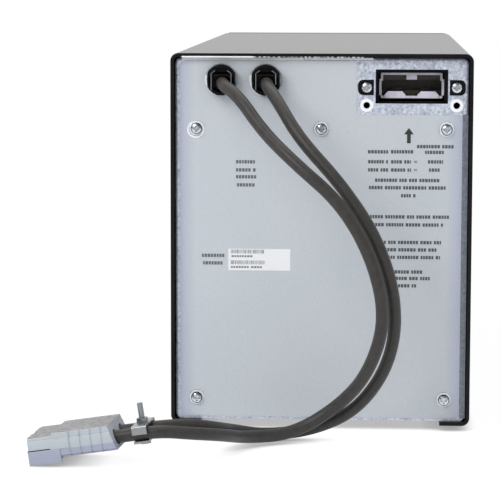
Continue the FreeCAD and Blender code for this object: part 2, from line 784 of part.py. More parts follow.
def build_strain_relief(label, across):
    """Moulded strain relief: flatted head, arched grip round the lead, shank in the panel."""
    body = new_body(label)
    centre = [("0 * gland_up", "0 * gland_up")]
    flatted_disc(body, "head", "gland_head", "gland_flats", "gland_reach", "0 * gland_up", False)
    dish = circles(body, "dish", "XZ", centre, "gland_flats - 2 * gland_wall", "-gland_reach")
    pocket(body, dish, "gland_reach - gland_wall")
    half, top, cut = "gland_grip / 2", "gland_grip_top", "gland_grip_cut"
    grip = outline(body, "grip", "XZ", [
        (f"-{half}", "-gland_grip_foot"), (half, "-gland_grip_foot"), (half, f"{top} - {cut}"),
        (f"{half} - {cut}", top), (f"-{half} + {cut}", top), (f"-{half}", f"{top} - {cut}")],
        "0 * gland_up")
    pad(body, grip, "gland_reach - gland_recess")
    arch = value("-gland_reach + gland_recess")
    soften(body, "arch_edge", "gland_wall * 0.35",
           lambda e: near(e.CenterOfMass.y, arch) and e.CenterOfMass.z > 0, "Chamfer")
    channel = rectangle(body, "channel", "XZ", "-gland_channel / 2", "gland_channel / 2",
                        "-gland_channel_foot", "gland_channel_top", "-gland_reach + gland_recess")
    pocket(body, channel, "gland_reach - gland_recess - gland_wall")
    shank = circles(body, "shank", "XZ", centre, "gland_shank", "0 * gland_up")
    pad(body, shank, "gland_shank_length", back=True)
    bore = circles(body, "bore", "XZ", [("0 * gland_up", "-gland_lead_drop")],
                   "lead_diameter + 2 * lead_clearance", "-gland_reach")
    pocket(body, bore, "gland_reach + gland_shank_length")
    rim = value("-gland_reach")
    soften(body, "rim", "gland_wall * 0.45",
           lambda e: near(e.CenterOfMass.y, rim) and e.BoundBox.DiagonalLength > value("gland_wall"))
    body.setExpression("Placement.Base.x", bound(across))
    body.setExpression("Placement.Base.y", bound(PANEL_FACE))
    body.setExpression("Placement.Base.z", bound("gland_up"))


def bend(corner, before, after):
    """Arc that rounds a corner, tangent to both runs, and its radius."""
    into, out = (corner - before), (after - corner)
    setback = 0.45 * min(into.Length, out.Length)
    turn = into.getAngle(out)
    radius = setback / math.tan(turn / 2)
    start = corner - into.normalize() * setback
    end = corner + out.normalize() * setback
    inward = (out - into).normalize()
    middle = corner + inward * (radius / math.cos(turn / 2) - radius)
    return start, middle, end, radius


def route_wire(points):
    """Straight runs joined by tangent arcs, with the radii of the arcs."""
    edges, radii = [], []
    here = points[0]
    for before, corner, after in zip(points, points[1:], points[2:]):
        start, middle, end, radius = bend(corner, before, after)
        edges.append(Part.LineSegment(here, start).toShape())
        edges.append(Part.Arc(start, middle, end).toShape())
        radii.append(radius)
        here = end
    edges.append(Part.LineSegment(here, points[-1]).toShape())
    return Part.Wire(edges), radii


def tube(label, points, diameter):
    """A lead as a round tube along its route."""
    wire, radii = route_wire(points)
    ring = Part.Circle(points[0], points[1] - points[0], diameter / 2).toShape()
    solid = wire.makePipeShell([Part.Wire(ring)], True, False)
    expected = math.pi * diameter ** 2 / 4 * wire.Length
    if abs(solid.Volume / expected - 1) > 0.01:
        raise RuntimeError(f"{label} has volume {solid.Volume:.0f}, not {expected:.0f}")
    print(f"{label}: length {wire.Length:.1f}, lowest {solid.BoundBox.ZMin:.2f}, radii",
          " ".join(f"{radius:.0f}" for radius in radii))
    return node(label, solid)


# ---------------------------------------------------------------- two-pole connector

def build_shell(label, placement):
    """Genderless two-pole housing: ribbed body, hood above, two bevelled noses below.

    In its own frame the tail lies on y = 0, the nose faces -Y and the hood is on +Z.
    """
    body = new_body(label)
    half, middle = "shell_width / 2", "0 * shell_width"
    side = f"{half} - shell_rail"
    low, high = "-shell_height / 2", "shell_height / 2"
    roof, sole = f"{high} - shell_step", f"{low} + shell_nose_step"
    rail_top, rail_foot = "shell_rail_top", "-shell_rail_foot"
    above, below = f"{rail_top} + shell_rail / 2", f"{rail_foot} - shell_rail / 2"

    def mirrored(name, right_side, level):
        left_side = [(f"-({across})", up) for across, up in reversed(right_side)]
        return outline(body, name, "XZ", right_side + left_side, level)

    main = mirrored("main", [(side, low), (side, below), (half, rail_foot), (half, rail_top),
                             (side, above), (side, roof)], middle)
    pad(body, main, "shell_body")
    nose = mirrored("nose", [(side, sole), (side, below), (half, rail_foot), (half, middle)],
                    "-shell_body")
    pad(body, nose, "shell_length - shell_body - shell_hood_setback")
    hood = mirrored("hood", [(half, middle), (half, rail_top), (side, above), (side, high)],
                    "-shell_body + shell_wall")
    pad(body, hood, "shell_length - shell_body + shell_wall - shell_hood_setback")

    edge_radius = value("shell_edge")
    soften(body, "long_edges", "shell_edge",
           lambda e: runs_along(e, AXIS_Y) and e.Length > 4 * edge_radius
           and abs(e.CenterOfMass.z) > value("shell_height / 2") - value("shell_step") - 0.1)

    inside, throat_half = f"{side} - shell_wall", f"{half} - shell_wall"
    shelf = f"{sole} + shell_wall"
    crest = f"{shelf} + nose_height"
    mouth = mirrored("mouth", [(inside, crest), (inside, f"{high} - shell_wall")], "-shell_length")
    pocket(body, mouth, "shell_length - shell_body - shell_wall")
    throat = mirrored("throat", [(throat_half, crest), (throat_half, "mouth_roof")], "-shell_length")
    pocket(body, throat, "mouth_depth")
    inner, outer = "(nose_pitch - nose_width) / 2", "(nose_pitch + nose_width) / 2"
    for name, left, right in (("left_slot", f"-({throat_half})", f"-{outer}"),
                              ("middle_slot", f"-{inner}", inner),
                              ("right_slot", outer, throat_half)):
        slot = rectangle(body, name, "XZ", left, right, shelf, f"{crest} + 0.01", "-shell_length")
        pocket(body, slot, "shell_length - shell_body")
    for name, left, right in (("left_tip", f"-{outer}", f"-{inner}"), ("right_tip", inner, outer)):
        tip = rectangle(body, name, "XZ", left, right, sole, crest,
                        "-shell_length + shell_hood_setback")
        pad(body, tip, "shell_hood_setback")
    crest_height, nose_edge = value(crest), value(f"{outer} + 0.01")
    soften(body, "nose_bevels", "nose_bevel",
           lambda e: runs_along(e, AXIS_Y) and near(e.CenterOfMass.z, crest_height)
           and e.CenterOfMass.y < value("-shell_body") and abs(e.CenterOfMass.x) < nose_edge,
           "Chamfer")
    tab = rectangle(body, "tab", "XZ", "-tab_width / 2", "tab_width / 2",
                    f"{high} - shell_wall - tab_drop", f"{high} - shell_wall", "-shell_body - shell_wall")
    pad(body, tab, "shell_length - shell_body - shell_wall - shell_hood_setback")

    poles = [("-pole_pitch / 2", "0 * shell_width"), ("pole_pitch / 2", "0 * shell_width")]
    bores = circles(body, "wire_bores", "XZ", poles, "wire_bore", "0 * shell_width")
    pocket(body, bores, "shell_length - mouth_depth - mouth_web", back=True)
    for name, across in (("left_seat", "-nose_pitch / 2"), ("right_seat", "nose_pitch / 2")):
        seat = "(contact_width / 2 + lead_clearance)"
        slot = rectangle(body, name, "XZ", f"{across} - {seat}", f"{across} + {seat}",
                         f"{crest} - contact_thickness", f"{crest} + contact_thickness",
                         "-shell_length + contact_tip")
        pocket(body, slot, "mouth_depth - contact_tip")
    gate = "(contact_neck / 2 + lead_clearance)"
    for name, across in (("left_gate", "-pole_pitch / 2"), ("right_gate", "pole_pitch / 2")):
        slot = rectangle(body, name, "XZ", f"{across} - {gate}", f"{across} + {gate}", crest,
                         f"{crest} + contact_thickness + lead_clearance", "-shell_length")
        pocket(body, slot, "mouth_depth + mouth_web + lead_clearance")
    slant = outline(body, "tail_slant", "YZ", [
        ("0 * shell_width", high), ("0 * shell_width", roof), ("-shell_tail_slant", low),
        ("-shell_tail_slant", f"{low} - shell_wall"), ("shell_wall", f"{low} - shell_wall"),
        ("shell_wall", high)], f"-{half} - shell_wall")
    pocket(body, slant, "shell_width + 2 * shell_wall", back=True)
    for name, start in (("left", f"-{half} - shell_wall"), ("right", f"{half} - rib_groove_depth")):
        groove = rectangle(body, name + "_groove", "YZ", "-rib_first - rib_groove / 2",
                           "-rib_first + rib_groove / 2", f"{low} - shell_wall", high, start)
        cut = pocket(body, groove, "rib_groove_depth + shell_wall", back=True)
        row = body.newObject("PartDesign::LinearPattern", f"{body.Name}_{name}_grooves")
        row.Originals = [cut]
        row.Direction = (groove, ["H_Axis"])
        row.Reversed = True
        row.setExpression("Length", bound("3 * rib_pitch"))
        row.Occurrences = 4
        body.Tip = row
        doc.recompute()
    body.Placement = placement
    return body


def contact_pair(placement):
    """Two plated contacts with crimp barrels, in the housing's own frame."""
    pieces = []
    crest = value("-shell_height / 2 + shell_nose_step + shell_wall + nose_height")
    wide, thick = value("contact_width / 2"), value("contact_thickness")
    tip = value("-shell_length + contact_tip + lead_clearance")
    barrel, length = value("barrel_diameter"), value("barrel_length")
    tail = value("-wire_bore_depth + lead_clearance")
    mouth, neck = value("-shell_length + mouth_depth - lead_clearance"), value("contact_neck / 2")
    lap = mouth - value("contact_lap")
    for side in (-1, 1):
        across, ahead = side * value("pole_pitch / 2"), side * value("nose_pitch / 2")
        blade = block(ahead - wide, ahead + wide, tip, mouth, crest - thick, crest)
        blade = blade.fuse(block(across - neck, across + neck, lap, tail, crest, crest + thick))
        drum = rod(barrel, length - 3, Vector(across, tail - 3, 0), AXIS_Y)
        drum = drum.cut(rod(value("lead_diameter + 2 * lead_clearance"), length,
                            Vector(across, tail, 0), AXIS_Y))
        pieces.append(blade.fuse(drum).removeSplitter())
    pair = Part.makeCompound(pieces)
    pair.Placement = placement
    return pair


def plug_placement():
    """The plug lies hood down with the hood's front edge on the floor and its tail raised."""
    yaw, tilt = value("plug_yaw"), value("plug_tilt")
    turned = Rotation(AXIS_Z, -90 - yaw).multiply(Rotation(AXIS_X, tilt)).multiply(Rotation(AXIS_Y, 180))
    front = Vector(0, value("-shell_length + shell_hood_setback"), value("shell_height / 2"))
    rise = value("floor_clearance") - turned.multVec(front).z
    tail = Vector(value("plug_tail_across"), value(f"{REAR} - plug_tail_out"), rise)
    return Placement(tail, turned)


# ---------------------------------------------------------------- panel connector

def build_connector_bracket():
    """Painted plate on the inside of the panel, bent over the connector like a bridge."""
    body = new_body("connector_bracket")
    left, right = "connector_across - bracket_half_width", "connector_across + bracket_half_width"
    window_left = "connector_across - bracket_window / 2"
    window_right = "connector_across + bracket_window / 2"
    low, top = "connector_up - bracket_bottom", "connector_up + bracket_top"
    window_top = "connector_up + bracket_window_top"
    plate = outline(body, "plate", "XZ", [
        (left, low), (window_left, low), (window_left, window_top), (window_right, window_top),
        (window_right, low), (right, low), (right, top), (left, top)], PANEL_BACK)
    pad(body, plate, "bracket_sheet", back=True)
    pocket(body, circles(body, "screw_holes", "XZ", ear_screw_places(),
                         "screw_thread + screw_clearance", PANEL_BACK), "bracket_sheet")


def build_connector_carrier():
    """Moulded sleeve that holds the panel connector, with a screwed ear on each side."""
    body = new_body("connector_carrier")
    level = f"{PANEL_BACK} + bracket_sheet"
    half = "(shell_width / 2 + carrier_clearance)"
    high = "(shell_height / 2 + carrier_clearance)"
    ears = rectangle(body, "ears", "XZ", "connector_across - bracket_half_width",
                     "connector_across + bracket_half_width", "connector_up - carrier_ear_height / 2",
                     "connector_up + carrier_ear_height / 2", level)
    pad(body, ears, "carrier_ear", back=True)
    sleeve = rectangle(body, "sleeve", "XZ", f"connector_across - {half} - carrier_wall",
                       f"connector_across + {half} + carrier_wall",
                       f"connector_up - {high} - carrier_wall",
                       f"connector_up + {high} + carrier_wall", level)
    pad(body, sleeve, "carrier_length", back=True)
    tunnel = rectangle(body, "tunnel", "XZ", f"connector_across - {half}", f"connector_across + {half}",
                       f"connector_up - {high}", f"connector_up + {high}", level)
    pocket(body, tunnel, "carrier_length")
    pocket(body, circles(body, "screw_holes", "XZ", ear_screw_places(), "screw_thread + screw_clearance",
                         level), "carrier_ear")
    face = value(PANEL_BACK)
    screw = pan_head_screw(value("screw_thread"), value("screw_length"), value("screw_head"),
                           value("screw_head_height"))
    node("carrier_screws", Part.makeCompound(
        [turned_to(screw, Vector(value(across), face, value(up)), -AXIS_Y)
         for across, up in ear_screw_places()]))


# ---------------------------------------------------------------- inside the case

def block_columns():
    """Centre line of the left and of the right column of blocks."""
    offset = value("(block_width + block_gap) / 2")
    return -offset, offset


def block_rows():
    """Rear face of the rear and of the front row of blocks."""
    first = value(BLOCK_REAR)
    return first, first + value("block_length + block_gap")


def build_batteries():
    """Four sealed lead-acid blocks, each a case with a stepped lid."""
    names = iter(("battery_rear_left", "battery_rear_right", "battery_front_left",
                  "battery_front_right"))
    step = value("block_lid_step")
    wide, long, high = value("block_width"), value("block_length"), value("block_height")
    base, lid = value(BLOCK_BASE), value("block_lid")
    for rear in block_rows():
        for centre in block_columns():
            case = block(centre - wide / 2 + step, centre + wide / 2 - step, rear + step,
                         rear + long - step, base, base + high - lid)
            cap = block(centre - wide / 2, centre + wide / 2, rear, rear + long,
                        base + high - lid, base + high)
            solid = case.fuse(cap).removeSplitter()
            upright = [e for e in solid.Edges if runs_along(e, AXIS_Z)]
            node(next(names), solid.makeFillet(value("block_corner") * 0.99, upright))


def post_places():
    """Centre of every terminal post: two at the front end of each block."""
    top = value(BLOCK_TOP)
    along = value("block_length - post_inset")
    return [Vector(centre + side * value("post_across"), rear + along, top)
            for rear in block_rows() for centre in block_columns() for side in (-1, 1)]


def build_terminals():
    """Posts, the two series links between inner posts, lugs on the outer posts, and bolts."""
    places = post_places()
    height, thick = value("post_height"), value("link_thickness")
    lug = value("lug_thickness")
    node("battery_posts", Part.makeCompound([rod(value("post_diameter"), height, p, AXIS_Z)
                                             for p in places]))
    links, lugs, bolts = [], [], []
    bolt = revolved([(0, -height * 0.5), (value("bolt_thread") / 2, -height * 0.5),
                     (value("bolt_thread") / 2, 0), (value("bolt_head") / 2, 0),
                     (value("bolt_head") / 2, value("bolt_head_height")),
                     (0, value("bolt_head_height"))])
    bore = value("bolt_thread") + 0.4
    half = value("link_width / 2")
    for i, place in enumerate(places):
        outer = i % 4 in (0, 3)
        seat = place + AXIS_Z * height
        if outer:
            plate = block(seat.x - half, seat.x + half, seat.y - value("lug_length"), seat.y + half,
                          seat.z, seat.z + lug)
            lugs.append(plate.cut(rod(bore, lug, seat, AXIS_Z)))
        bolts.append(turned_to(bolt, seat + AXIS_Z * (lug if outer else thick), AXIS_Z))
    for left, right in ((places[1], places[2]), (places[5], places[6])):
        plate = block(left.x - half, right.x + half, left.y - half, left.y + half,
                      left.z + height, left.z + height + thick)
        for post in (left, right):
            plate = plate.cut(rod(bore, thick, post + AXIS_Z * height, AXIS_Z))
        links.append(plate)
    node("series_links", Part.makeCompound(links))
    node("cable_lugs", Part.makeCompound(lugs))
    posts = doc.getObject("battery_posts")
    holes = Part.makeCompound([rod(bore, height, p, AXIS_Z) for p in places])
    posts.Shape = posts.Shape.cut(holes)
    node("terminal_bolts", Part.makeCompound(bolts))


def build_packing():
    """Liner under the blocks, pads round them and the retainer across their rear ends."""
    left, right = block_columns()
    half = right + value("block_width / 2")
    rear, front = block_rows()
    front_end = front + value("block_length")
    wall = value(f"{CHASSIS_HALF} - chassis_sheet")
    floor, base, top = value(FLOOR_INSIDE), value(BLOCK_BASE), value(BLOCK_TOP)
    inside_rear = value(f"{PANEL_BACK} + chassis_sheet")
    inside_front = value(f"{FRAME_BACK} - chassis_sheet")
    node("base_liner", block(-wall, wall, inside_rear, inside_front, floor, base))
    high = base + value("chassis_side") - 4
    node("side_pads", Part.makeCompound([
        block(-wall, -half, rear, front_end, base, high), block(half, wall, rear, front_end, base, high)]))
    pad_half, pad_top = value("end_pad_half_width"), value(f"{BASE} + chassis_upright")
    node("end_pads", Part.makeCompound([
        block(-pad_half, pad_half, inside_rear, rear, base, pad_top),
        block(-pad_half, pad_half, front_end, inside_front, base, pad_top)]))

    sheet_in = value("retainer_sheet")
    wide, reach = value("retainer_half_width"), value("retainer_reach")
    back, low = value(PANEL_BACK), value("retainer_low")
    seat = top + value("retainer_pad")
    angle = block(-wide, wide, back, back + sheet_in, low, seat + sheet_in)
    angle = angle.fuse(block(-wide, wide, back, back + reach, seat, seat + sheet_in)).removeSplitter()
    hole = value("screw_thread + screw_clearance")
    for across, up in panel_screw_places():
        if up == "screw_high":
            angle = angle.cut(rod(hole, sheet_in, Vector(value(across), back, value(up)), AXIS_Y))
    bend_edge = [e for e in angle.Edges if runs_along(e, AXIS_X) and near(e.CenterOfMass.y, back)
                 and near(e.CenterOfMass.z, seat + sheet_in)]
    node("battery_retainer", angle.makeFillet(sheet_in, bend_edge))
    node("retainer_pad", block(-wide + 4, wide - 4, rear + 2, back + reach, top, seat))


def junction_levels():
    """Rear face, front face, foot and top of the junction block."""
    rear = value(REAR) + value("junction_back")
    foot = value(BLOCK_TOP)
    return rear, rear + value("junction_length"), foot, foot + value("junction_height")


def junction_bores():
    """Bore centres: four rear bores for the leads from the panel, four front ones for the blocks."""
    rear, front, foot, top = junction_levels()
    level = (foot + top) / 2 - 2
    pitch = value("junction_width") / 4
    columns = [pitch * (i - 1.5) for i in range(4)]
    return [Vector(x, rear, level) for x in columns], [Vector(x, front, level) for x in columns]


def build_junction():
    """Moulded block that joins all leads, with its clamp screws and the fuse on top."""
    rear, front, foot, top = junction_levels()
    wide = value("junction_width / 2")
    body = block(-wide, wide, rear, front, foot, top)
    upright = [e for e in body.Edges if runs_along(e, AXIS_Z)]
    body = body.makeFillet(3, upright)
    depth = value("junction_bore_depth")
    behind, ahead = junction_bores()
    for spot in behind:
        body = body.cut(rod(value("lead_diameter + 2 * lead_clearance"), depth, spot, AXIS_Y))
    for spot in ahead:
        body = body.cut(rod(value("inner_lead_diameter + 2 * lead_clearance"), depth, spot, -AXIS_Y))
    seats = [Vector(spot.x, edge, top) for spot in behind
             for edge in (rear + depth * 0.6, front - depth * 0.6)]
    for seat in seats:
        body = body.cut(rod(value("screw_thread") + 0.3, 6, seat, -AXIS_Z))
    node("junction_block", body)
    screw = pan_head_screw(value("screw_thread"), 5, value("screw_head"), value("screw_head_height"))
    node("junction_screws", Part.makeCompound([turned_to(screw, seat, AXIS_Z) for seat in seats]))
    middle = (rear + front) / 2
    reach, width, height = (value(f"fuse_{part}") for part in ("length", "width", "height"))
    fuse = block(-reach / 2, reach / 2, middle - width / 2, middle + width / 2, top, top + height)
    node("fuse", fuse.makeFillet(1.5, [e for e in fuse.Edges if runs_along(e, AXIS_X)]))


def build_leads():
    """The two free leads from the strain reliefs to the plug."""
    panel = value(REAR)
    entry = value(PANEL_FACE) + value("gland_shank_length")
    left, right = (value("gland_across"), value("gland_across + gland_pitch"))
    up = value("gland_lead_up")
    plug = plug_placement()
    pole, pitch = value("pole_pitch / 2"), value("clamp_lead_pitch / 2")
    seat = value("-wire_bore_depth + 2 * lead_clearance")

    def in_plug(side, back, across):
        return plug.multVec(Vector(side * across, back, 0))

    near_route = [
        (-45.0, -28.5, 191.6), (-30.5, -43.0, 172.9), (-12.5, -62.0, 157.4), (13.0, -67.5, 136.0),
        (30.0, -72.0, 106.5), (37.0, -65.0, 73.2), (28.0, -53.0, 42.3), (12.0, -36.0, 21.0),
        (-14.0, -37.0, 4.6), (-40.0, -52.0, 5.6), (-50.0, -81.0, 12.7), (-65.5, -96.5, 16.5)]
    far_route = [
        (-23.5, -30.5, 189.5), (-10.5, -48.5, 169.5), (12.5, -59.0, 145.8), (32.5, -65.5, 116.7),
        (43.0, -59.5, 81.5), (40.0, -45.5, 47.1), (22.0, -33.0, 18.0), (-3.5, -26.0, 5.0),
        (-30.0, -34.0, 3.4), (-47.5, -50.0, 9.3), (-53.5, -69.5, 14.1), (-65.0, -82.0, 18.1)]
    for label, across, route, side in (("lead_left", left, near_route, -1),
                                       ("lead_right", right, far_route, 1)):
        points = [Vector(across, entry, up), Vector(across, panel - 12, up)]
        points += [Vector(x, panel + y, z) for x, y, z in route]
        points += [in_plug(side, 22, pitch), in_plug(side, 1, pole * 0.985), in_plug(side, seat, pole)]
        tube(label, points, value("lead_diameter"))


def build_inner_leads():
    """Leads held inside the case, from the panel to the junction block and on to the blocks."""
    behind, ahead = junction_bores()
    entry = value(PANEL_FACE) + value("gland_shank_length")
    up = value("gland_lead_up")
    depth, run = value("junction_bore_depth"), value("gland_lead_run")
    for label, across, bore in (("gland_lead_left", "gland_across", behind[0]),
                                ("gland_lead_right", "gland_across + gland_pitch", behind[1])):
        tube(label, [Vector(value(across), entry, up), Vector(value(across), entry + run, up),
                     Vector(bore.x, bore.y - 24, bore.z), Vector(bore.x, bore.y + depth, bore.z)],
             value("lead_diameter"))
    tail = value(f"{PANEL_FACE} + connector_recess + shell_length")
    height = value("connector_up")
    for label, side, bore in (("panel_lead_left", -1, behind[2]), ("panel_lead_right", 1, behind[3])):
        across = value("connector_across") + side * value("pole_pitch / 2")
        start = tail - value("wire_bore_depth") + value("lead_clearance")
        tube(label, [Vector(across, start, height), Vector(across, tail + 5, height),
                     Vector(bore.x, bore.y - 9, bore.z), Vector(bore.x, bore.y + depth, bore.z)],
             value("lead_diameter"))
    posts = [p for i, p in enumerate(post_places()) if i % 4 in (0, 3)]
    thick, straight = value("inner_lead_diameter"), value("inner_lead_straight")
    level = value(BLOCK_TOP) + value("post_height + lug_thickness") + thick / 2
    lifted = level + value("inner_lead_lift")
    column, lug = value("(block_width + block_gap) / 2"), value("lug_length")
    for row, bores in (("rear", (ahead[0], ahead[3])), ("front", (ahead[1], ahead[2]))):
        for side, bore in zip((-1, 1), bores):
            post = posts[(0 if row == "rear" else 2) + (side > 0)]
            end = Vector(post.x, post.y - value("link_width") / 2 - 3, level)
            points = [Vector(bore.x, bore.y - depth, bore.z), Vector(bore.x, bore.y + straight, bore.z)]
            if row == "rear":
                points.append(Vector(post.x, bore.y + 2.5 * straight, lifted))
            else:
                points += [Vector(side * column, bore.y + 3 * straight, lifted),
                           Vector(side * column, post.y - 2.5 * lug, lifted),
                           Vector(post.x, post.y - 1.3 * lug, level)]
            tube(f"battery_lead_{row}_{'left' if side < 0 else 'right'}", points + [end], thick)


# ---------------------------------------------------------------- clamp on the leads

def build_clamp():
    """Two bent strips bolted together over both leads just behind the plug."""
    plug = plug_placement()
    back, width = value("clamp_back"), value("clamp_width")
    span, sheet_in, lip = value("clamp_half_span"), value("clamp_sheet"), value("clamp_lip")
    bore = value("clamp_screw") + 0.2
    under = value("lead_diameter / 2 + 0.1")
    rear, front = back - width / 2, back + width / 2
    upper = block(-span, span, rear, front, -under - sheet_in, -under)
    for side in (-1, 1):
        edge = side * span
        leg = block(min(edge, edge - side * sheet_in), max(edge, edge - side * sheet_in), rear, front,
                    -under - sheet_in, -under - sheet_in + lip)
        upper = upper.fuse(leg)
    upper = upper.removeSplitter()
    lower = block(-span + sheet_in + 0.3, span - sheet_in - 0.3, rear, front, under, under + sheet_in)
    axis = Vector(0, back, -under - sheet_in - 20)
    upper = upper.makeFillet(sheet_in * 0.8, [
        e for e in upper.Edges if runs_along(e, AXIS_Y) and near(e.CenterOfMass.z, -under - sheet_in)])
    upper = upper.cut(rod(bore, 40, axis, AXIS_Z))
    lower = lower.cut(rod(bore, 60, axis, AXIS_Z))
    screw_d, head, head_high = (value(n) for n in ("clamp_screw", "clamp_head", "clamp_head_height"))
    reach = value("clamp_screw_reach")
    nut_high = value("clamp_nut_height")
    foot = Vector(0, back, under + sheet_in)
    stud = rod(head, head_high, foot, AXIS_Z).fuse(
        rod(screw_d, 2 * (under + sheet_in) + nut_high + reach, foot, -AXIS_Z)).removeSplitter()
    top = Vector(0, back, -under - sheet_in)
    hexagon = Part.makePolygon([top + Vector(value("clamp_nut / 2 / cos(30)") * math.cos(math.pi / 3 * i),
                                             value("clamp_nut / 2 / cos(30)") * math.sin(math.pi / 3 * i), 0)
                                for i in range(7)])
    nut = Part.Face(hexagon).extrude(-AXIS_Z * nut_high).cut(rod(bore, nut_high, top, -AXIS_Z))
    for label, solid in (("clamp_upper", upper), ("clamp_lower", lower), ("clamp_screw", stud),
                         ("clamp_nut", nut)):
        node(label, solid).Placement = plug


# ---------------------------------------------------------------- build, check and write

build_cover()
build_rear_panel()
build_overlay()
build_serial_label()
build_panel_screws()
build_chassis()
build_front_frame()
build_battery_door()
build_bezel()
build_feet()
build_strain_relief("strain_relief_left", "gland_across")
build_strain_relief("strain_relief_right", "gland_across + gland_pitch")
build_connector_bracket()
build_connector_carrier()
panel_place = Placement(Vector(value("connector_across"),
                               value(f"{PANEL_FACE} + connector_recess + shell_length"),
                               value("connector_up")), Rotation())
build_shell("panel_connector", panel_place)
node("panel_contacts", contact_pair(panel_place))
build_shell("plug_housing", plug_placement())
node("plug_contacts", contact_pair(plug_placement()))
build_batteries()
build_terminals()
build_packing()
build_junction()
build_leads()
build_inner_leads()
build_clamp()

doc.recompute()
for thing in doc.Objects:
    if {"Invalid", "Error"} & set(thing.State):
        raise RuntimeError(f"{thing.Label} failed to build: {thing.State}")
os.makedirs("parts", exist_ok=True)
for piece in NODES:
    if piece.Shape.isNull() or not piece.Shape.isValid() or not piece.Shape.Solids:
        raise RuntimeError(f"{piece.Label} has no valid solid")
for piece in NODES:
    piece.Shape.exportStep(f"parts/{piece.Label}.step")
print(f"{len(NODES)} nodes, {sum(len(piece.Shape.Solids) for piece in NODES)} solids")
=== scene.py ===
import math
import random

import bmesh
import bpy
from mathutils import Matrix, Vector


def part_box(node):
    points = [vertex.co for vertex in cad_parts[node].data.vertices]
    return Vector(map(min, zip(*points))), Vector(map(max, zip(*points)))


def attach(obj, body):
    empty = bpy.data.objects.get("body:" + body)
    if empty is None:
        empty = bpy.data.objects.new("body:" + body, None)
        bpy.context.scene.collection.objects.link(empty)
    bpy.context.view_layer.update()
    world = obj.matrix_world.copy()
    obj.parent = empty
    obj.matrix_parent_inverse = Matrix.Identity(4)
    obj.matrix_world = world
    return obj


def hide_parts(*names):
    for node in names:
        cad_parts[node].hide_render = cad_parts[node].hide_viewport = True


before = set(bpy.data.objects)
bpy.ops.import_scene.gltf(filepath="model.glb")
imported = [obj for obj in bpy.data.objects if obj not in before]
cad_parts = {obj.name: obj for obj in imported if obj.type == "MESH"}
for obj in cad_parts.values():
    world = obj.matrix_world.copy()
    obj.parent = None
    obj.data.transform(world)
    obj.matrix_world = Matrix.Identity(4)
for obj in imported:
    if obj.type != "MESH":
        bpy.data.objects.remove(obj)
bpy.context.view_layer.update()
MM = 0.001
DRAWS = random.Random(11)

# The middle of the plug's mouth, in metres, and the plug's own directions: out of the mouth, out of the
# side that faces the camera, and up.
PLUG_MOUTH = (-0.149532, -0.308885, 0.007777)
PLUG_AXIS = (-0.98393, 0.086083, -0.156434)
PLUG_SIDE = (-0.0871557, -0.9961947, 0.0)
PLUG_UP = (-0.155838, 0.0136343, 0.987688)


# ---------------------------------------------------------------- node helpers

def set_range(node, start, end, low, high):
    """What a Map Range node takes in, and what it gives out."""
    for name, number in (("From Min", start), ("From Max", end), ("To Min", low), ("To Max", high)):
        node.inputs[name].default_value = number


